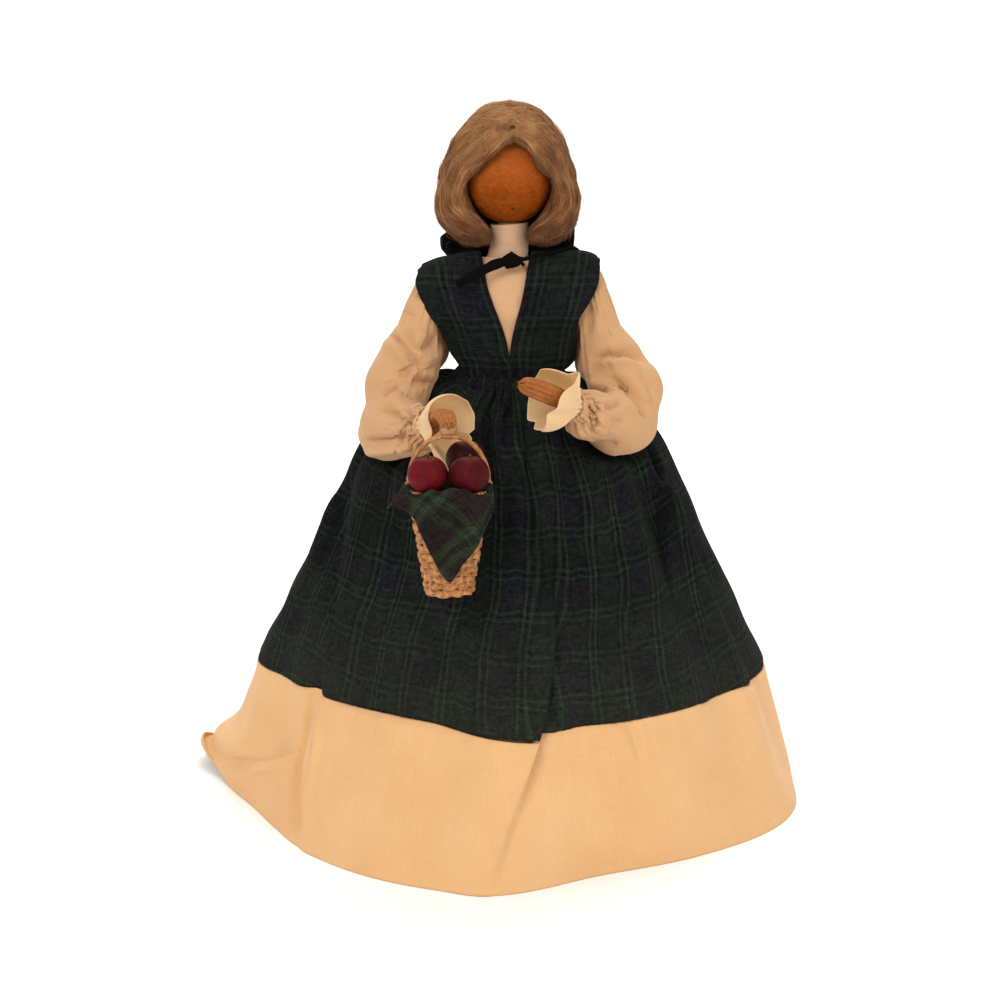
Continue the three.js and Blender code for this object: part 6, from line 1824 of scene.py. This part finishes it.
parts = Parts()
a = TAU * np.arange(260) / 260
RR = wall_r(B_RIM - 2.2) - 0.4
for k3 in range(3):
    ph = a * 16 + k3 * TAU / 3
    rr = RR + 0.55 * np.cos(ph)
    zz = B_RIM - 1.15 + 0.55 * np.sin(ph) + 0.1 * np.sin(a * 3)
    add_tube(parts, np.stack([BX + rr * np.sin(a), BY - rr * np.cos(a), zz], -1), 0.62, 0.52, sides=8, closed=True, up=(0, 0, 1), u0=k3 * 9.0)
rim = parts.build("basket_braided_rim", [STRAW])
stand_for(rim, "straw", "basket_rim")

arch_half, arch_foot = B_RT - 0.6, B_RIM + 0.3
a = np.pi * np.linspace(0, 1, 90)
ax = -arch_half * np.sign(np.cos(a)) * np.abs(np.cos(a)) ** 0.9
az_ = arch_foot + (HANDLE_TOP - arch_foot) * np.sin(a) ** 0.9
pth = np.stack([BX + ax, np.full(90, BY), az_], -1)
pth = np.vstack([[BX - arch_half - 0.1, BY, arch_foot - 1.6], pth, [BX + arch_half + 0.1, BY, arch_foot - 1.6]])
pth = spline(pth[::3], 150)
parts = Parts()
kk = np.linspace(0, 1, 150)
wob = 1 + 0.05 * np.sin(kk * 37) + 0.04 * np.sin(kk * 83 + 1)
add_tube(parts, pth, 1.0 * wob, 0.92 * wob, sides=14, up=(0, 1, 0), lobes=5, lobe=0.03)
# bindings of split straw where the reed meets the rim
for sgn in (-1, 1):
    t = np.linspace(0, TAU * 3, 70)
    c = np.array([BX + sgn * arch_half, BY, arch_foot + 0.6])
    sp = np.stack([c[0] + 1.25 * np.cos(t), c[1] + 1.2 * np.sin(t), c[2] - 0.6 + 2.0 * t / t[-1]], -1)
    add_tube(parts, sp, 0.3, 0.22, sides=6)
handle = parts.build("basket_reed_handle", [STRAW])
stand_for(handle, "straw", "basket_handle")

# thread lashing of the reed under the fingertips
parts = Parts()
tie_top, tie_bot = 184.2, HANDLE_TOP - HANDLE_R - 0.2
for turn_ in (0.42, -0.42, 0.55, -0.3):
    t = TAU * np.arange(80) / 80
    upz = (tie_top - tie_bot) / 2 * np.sin(t) + (tie_top + tie_bot) / 2
    wd = 3.9 - 0.35 * (1 - np.sin(t))
    across = wd * np.sign(np.cos(t)) * np.abs(np.cos(t)) ** 0.8
    pth = np.stack([BX + across * math.cos(turn_), BY + across * math.sin(turn_), upz + 0.1 * np.sin(3 * t + turn_ * 9)], -1)
    add_tube(parts, pth, 0.13, sides=7, closed=True)
tie = parts.build("basket_lashing", [TIE])
stand_for(tie, "thread", "basket_tie")


# apples
def build_apple(name, node, stem_node, c, seed, tones):
    c = np.array(c, float)
    r = 8.0
    nu_, nv_ = 72, 48
    th = np.linspace(0.0, np.pi, nv_)
    ph = TAU * np.arange(nu_) / nu_
    PH_, TH_ = np.meshgrid(ph, th)
    rho = 1.0 - 0.30 * np.exp(-(TH_ / 0.32) ** 2) - 0.18 * np.exp(-((np.pi - TH_) / 0.26) ** 2)
    rho = rho * (1 + 0.012 * np.sin(5 * PH_ + seed) * np.sin(TH_) + 0.014 * np.cos(2 * PH_ + seed))
    rho = rho * (1 + 0.03 * np.cos(TH_) * np.sin(TH_))
    d_ = np.stack([np.sin(TH_) * np.sin(PH_), -np.sin(TH_) * np.cos(PH_), 0.95 * np.cos(TH_)], -1)
    P = c + d_ * (rho * r)[..., None]
    UV = np.stack(np.broadcast_arrays((np.arange(nu_ + 1) / nu_)[None, :], (th / np.pi)[:, None]), -1)
    vv, ff, uvv = grid_parts(P, UV, closed=True, flip=facing(P[1:-1], c, True))
    ob = make(name, vv, ff, uvv.reshape(-1, 2), [apple_material(name + "_skin", seed, *tones)])
    stand_for(ob, "apple", node)
    parts = Parts()
    z0 = c[2] + 0.70 * r
    pth = spline([(c[0], c[1], z0 - 0.6), (c[0] + 0.1, c[1] - 0.1, z0 + 0.5), (c[0] + 0.25, c[1] - 0.2, c[2] + r - 0.7), (c[0] + 0.5, c[1] - 0.4, c[2] + r + 0.1)], 20)
    add_tube(parts, pth, tab([(0, 0.5), (0.6, 0.42), (0.9, 0.62), (1, 0.5)], np.linspace(0, 1, 20)), sides=9)
    st = parts.build(name + "_stem", [STEM_WOOD])
    stand_for(st, "stem", stem_node)
    return ob


build_apple("apple_viewer_left", "apple_right", "apple_stem_right", (BX - 8.15, BY - 5.6, 163.8), 1.0, ((96, 13, 20), (64, 6, 12)))
build_apple("apple_viewer_right", "apple_left", "apple_stem_left", (BX + 8.15, BY - 5.6, 163.8), 2.0, ((76, 11, 16), (48, 5, 10)))
# painted shade: this apple's skin is much darker than the front apples' to stand for the shade it sits in behind them
build_apple("apple_behind", "apple_back", "apple_stem_back", (BX + 6.8, BY + 10.3, 167.0), 3.0, ((48, 9, 12), (32, 5, 8)))

# napkin: pushed down under the apples, one corner over the front and one at the side
APPLES = [(-8.15, -5.6), (8.15, -5.6)]
nq, nr_in, nr_out = 220, 26, 40
q = -np.pi + TAU * np.arange(nq) / nq
rim_in = wall_r(B_RIM - 2.2) - 1.9
rin = np.linspace(0.02, 1, nr_in)
QN_, RN_ = np.meshgrid(q, rin)
R_ = RN_ * rim_in
xx, yy = R_ * np.sin(QN_), -R_ * np.cos(QN_)
zz = 157.4 + 1.7 * smooth((RN_ - 0.55) / 0.45) + 0.5 * np.sin(6 * QN_) * RN_ + 0.4 * np.sin(11 * QN_ + 1) * RN_
for ax_, ay_ in APPLES:
    dd = np.hypot(xx - ax_, yy - ay_)
    under = 163.8 - np.sqrt(np.maximum(8.9 ** 2 - dd ** 2, 0)) * 0.97
    zz = np.where(dd < 8.9, np.minimum(zz, under), zz)
inside = np.stack([BX + xx, BY + yy, zz], -1)
deg = np.degrees(q)
reach = tab([(-180, 2.4), (-100, 2.4), (-84, 6.0), (-68, 11.0), (-52, 14.0), (-32, 26.5), (-14, 36.0), (4, 41.0), (14, 38.0), (30, 31.5), (56, 21.5), (90, 11.5), (112, 5.5), (132, 2.4), (180, 2.4)], deg)
sideflap = np.maximum(0, 1 - np.abs(deg + 84) / 17.0)
reach = np.maximum(reach, 15.0 * sideflap ** 0.8)
reach = np.maximum(reach, 2.4 + 0.8 * np.sin(5 * q))
reach_s = reach
outs = []
for x in np.linspace(0, 1, nr_out)[1:]:
    ln = reach_s * x                        # length beyond the inner edge of the rim
    over = np.pi / 2 * np.clip(ln / 4.4, 0, 1)
    rr = rim_in + 2.9 * np.sin(over) * np.where(reach_s > 6, 1, 0.45)
    zc_ = zz[-1] + 0.55 * np.sin(over * 2) * np.where(reach_s > 6, 1.0, 0.8)
    down = np.maximum(ln - 4.4, 0)
    z_out = zc_ - 1.0 * (1 - np.cos(over)) * np.where(reach_s > 6, 1, 0.2) - down
    hang = wall_r(np.maximum(z_out, 112)) + 1.15
    rr = np.where(down > 0, np.minimum(rr + 0.02 * down, np.maximum(hang + 0.9 * np.exp(-down / 8.0), 0)), rr)
    sf = smooth(sideflap * 2.4) * smooth(ln / 3.0)
    rr = rr + sf * (rim_in + 1.6 + ln * 0.62 - rr)
    z_out = z_out + sf * (zc_ - 0.3 - ln * 0.62 - z_out)
    rr = rr + 0.55 * np.sin(q * 9 + 0.7) * smooth(down / 6) * smooth((30 - down) / 20) + 0.35 * np.sin(down * 0.35 + q * 3) * smooth(down / 10)
    outs.append(np.stack([BX + rr * np.sin(q), BY - rr * np.cos(q), z_out], -1))
NP = np.concatenate([inside, np.array(outs)], 0)
cv = np.concatenate([np.zeros((1, nq)), np.cumsum(np.linalg.norm(np.diff(NP, axis=0), axis=-1), 0)], 0)
qq = np.append(q, np.pi)
cv2 = np.append(cv, cv[:, :1], 1)
# flat cloth coordinates: the cloth is laid across the basket, its grain across the corner
flat_r = np.concatenate([np.broadcast_to((rin * rim_in)[:, None], (nr_in, nq + 1)), rim_in + np.linspace(0, 1, nr_out)[1:, None] * np.append(reach_s, reach_s[0])[None, :]], 0)
beyond = np.maximum(flat_r - rim_in, 0)
UVN = np.stack([np.minimum(flat_r, rim_in) * (np.sin(qq)[None, :] + (qq - np.sin(qq))[None, :] * smooth(beyond / 6.0)) * (1 - 0.007 * beyond), -np.minimum(flat_r, rim_in) * (np.cos(qq)[None, :] + (1 - np.cos(qq)[None, :]) * smooth(beyond / 6.0)) - beyond], -1)
v, f, uv = grid_parts(NP, UVN + np.array([6.0, 3.0]), closed=True, flip=facing(NP, (BX, BY, 130.0), True))
napkin = make("napkin_cloth", v, f, uv.reshape(-1, 2), [TARTAN_N])
thicken(napkin, 0.5, 1.0)
stand_for(napkin, "tartan", "napkin")

# ------------------------------------------------------------------ carried-over frame pieces
for node, material in (("base_disc", BASE_WOOD), ("body_post", DOWEL_WOOD), ("shoulder_wire", WIRE), ("right_upper_wire", WIRE), ("left_upper_wire", WIRE),
                       ("right_forearm_wire", WIRE), ("left_forearm_wire", WIRE)):
    me = NODES[node].data
    me.materials.clear()
    me.materials.append(material)

# ------------------------------------------------------------------ floor, backdrop and light
ys = np.concatenate([np.linspace(-4000, 1500, 12), 1500 + 900 * np.sin(np.linspace(0, np.pi / 2, 24)[1:]), np.full(4, 2400.0)])
zsb = np.concatenate([np.zeros(12), 900 * (1 - np.cos(np.linspace(0, np.pi / 2, 24)[1:])), np.linspace(1200, 5000, 4)])
xs = np.linspace(-6000, 6000, 9)
X_, Y_ = np.meshgrid(xs, ys)
PFL = np.stack([X_, Y_, np.broadcast_to(zsb[:, None], X_.shape) - 0.03], -1)
v, f, uv = grid_parts(PFL, None, flip=facing(PFL, (0, 0, -4000)))
FLOOR = Mat("pale_floor", Roughness=0.85, Specular_IOR_Level=0.1)
pos, x, y, z = FLOOR.place()
FLOOR.color(FLOOR.mix(FLOOR.noise(pos, 0.004, 2.0), lin(251, 250, 249), lin(253, 252, 251)))
floor = make("floor", v, f, None, [FLOOR.m])

world = bpy.data.worlds.new("studio")
scene.world = world
world.use_nodes = True
bg = world.node_tree.nodes.get("Background") or world.node_tree.nodes.new("ShaderNodeBackground")
bg.inputs[0].default_value = (1.0, 0.985, 0.965, 1.0)
bg.inputs[1].default_value = 0.62


def area_light(name, loc, target, size, energy, colour):
    ld = bpy.data.lights.new(name, "AREA")
    ld.shape = "DISK"
    ld.size = size
    ld.energy = energy
    ld.color = colour
    lo = bpy.data.objects.new(name, ld)
    scene.collection.objects.link(lo)
    lo.location = loc
    dv = np.array(target, float) - np.array(loc, float)
    from mathutils import Vector
    lo.rotation_euler = Vector(dv).to_track_quat("-Z", "Y").to_euler()
    return lo


area_light("key", (-0.75, -1.25, 1.25), (0, 0, 0.14), 0.9, 15.0, (1.0, 0.97, 0.92))
area_light("fill", (1.1, -1.1, 0.8), (0, 0, 0.14), 1.2, 8.0, (1.0, 0.98, 0.95))
area_light("backdrop", (0, 1.0, 2.6), (0, 2.4, 1.1), 1.8, 42.0, (1.0, 0.99, 0.98))
area_light("rim", (0.3, 1.3, 1.3), (0, 0, 0.2), 1.0, 6.0, (1.0, 0.98, 0.96))


def declare(ob):
    a = area_of(ob)


declare(skirt)
declare(hem)
declare(bodice_r)
declare(bodice_l)
declare(bodice_b)
declare(blouse)
declare(neck)
declare(hood)
declare(lining)
declare(sleeve_r)
declare(sleeve_l)
declare(cuff_r)
declare(cuff_l)
declare(napkin)
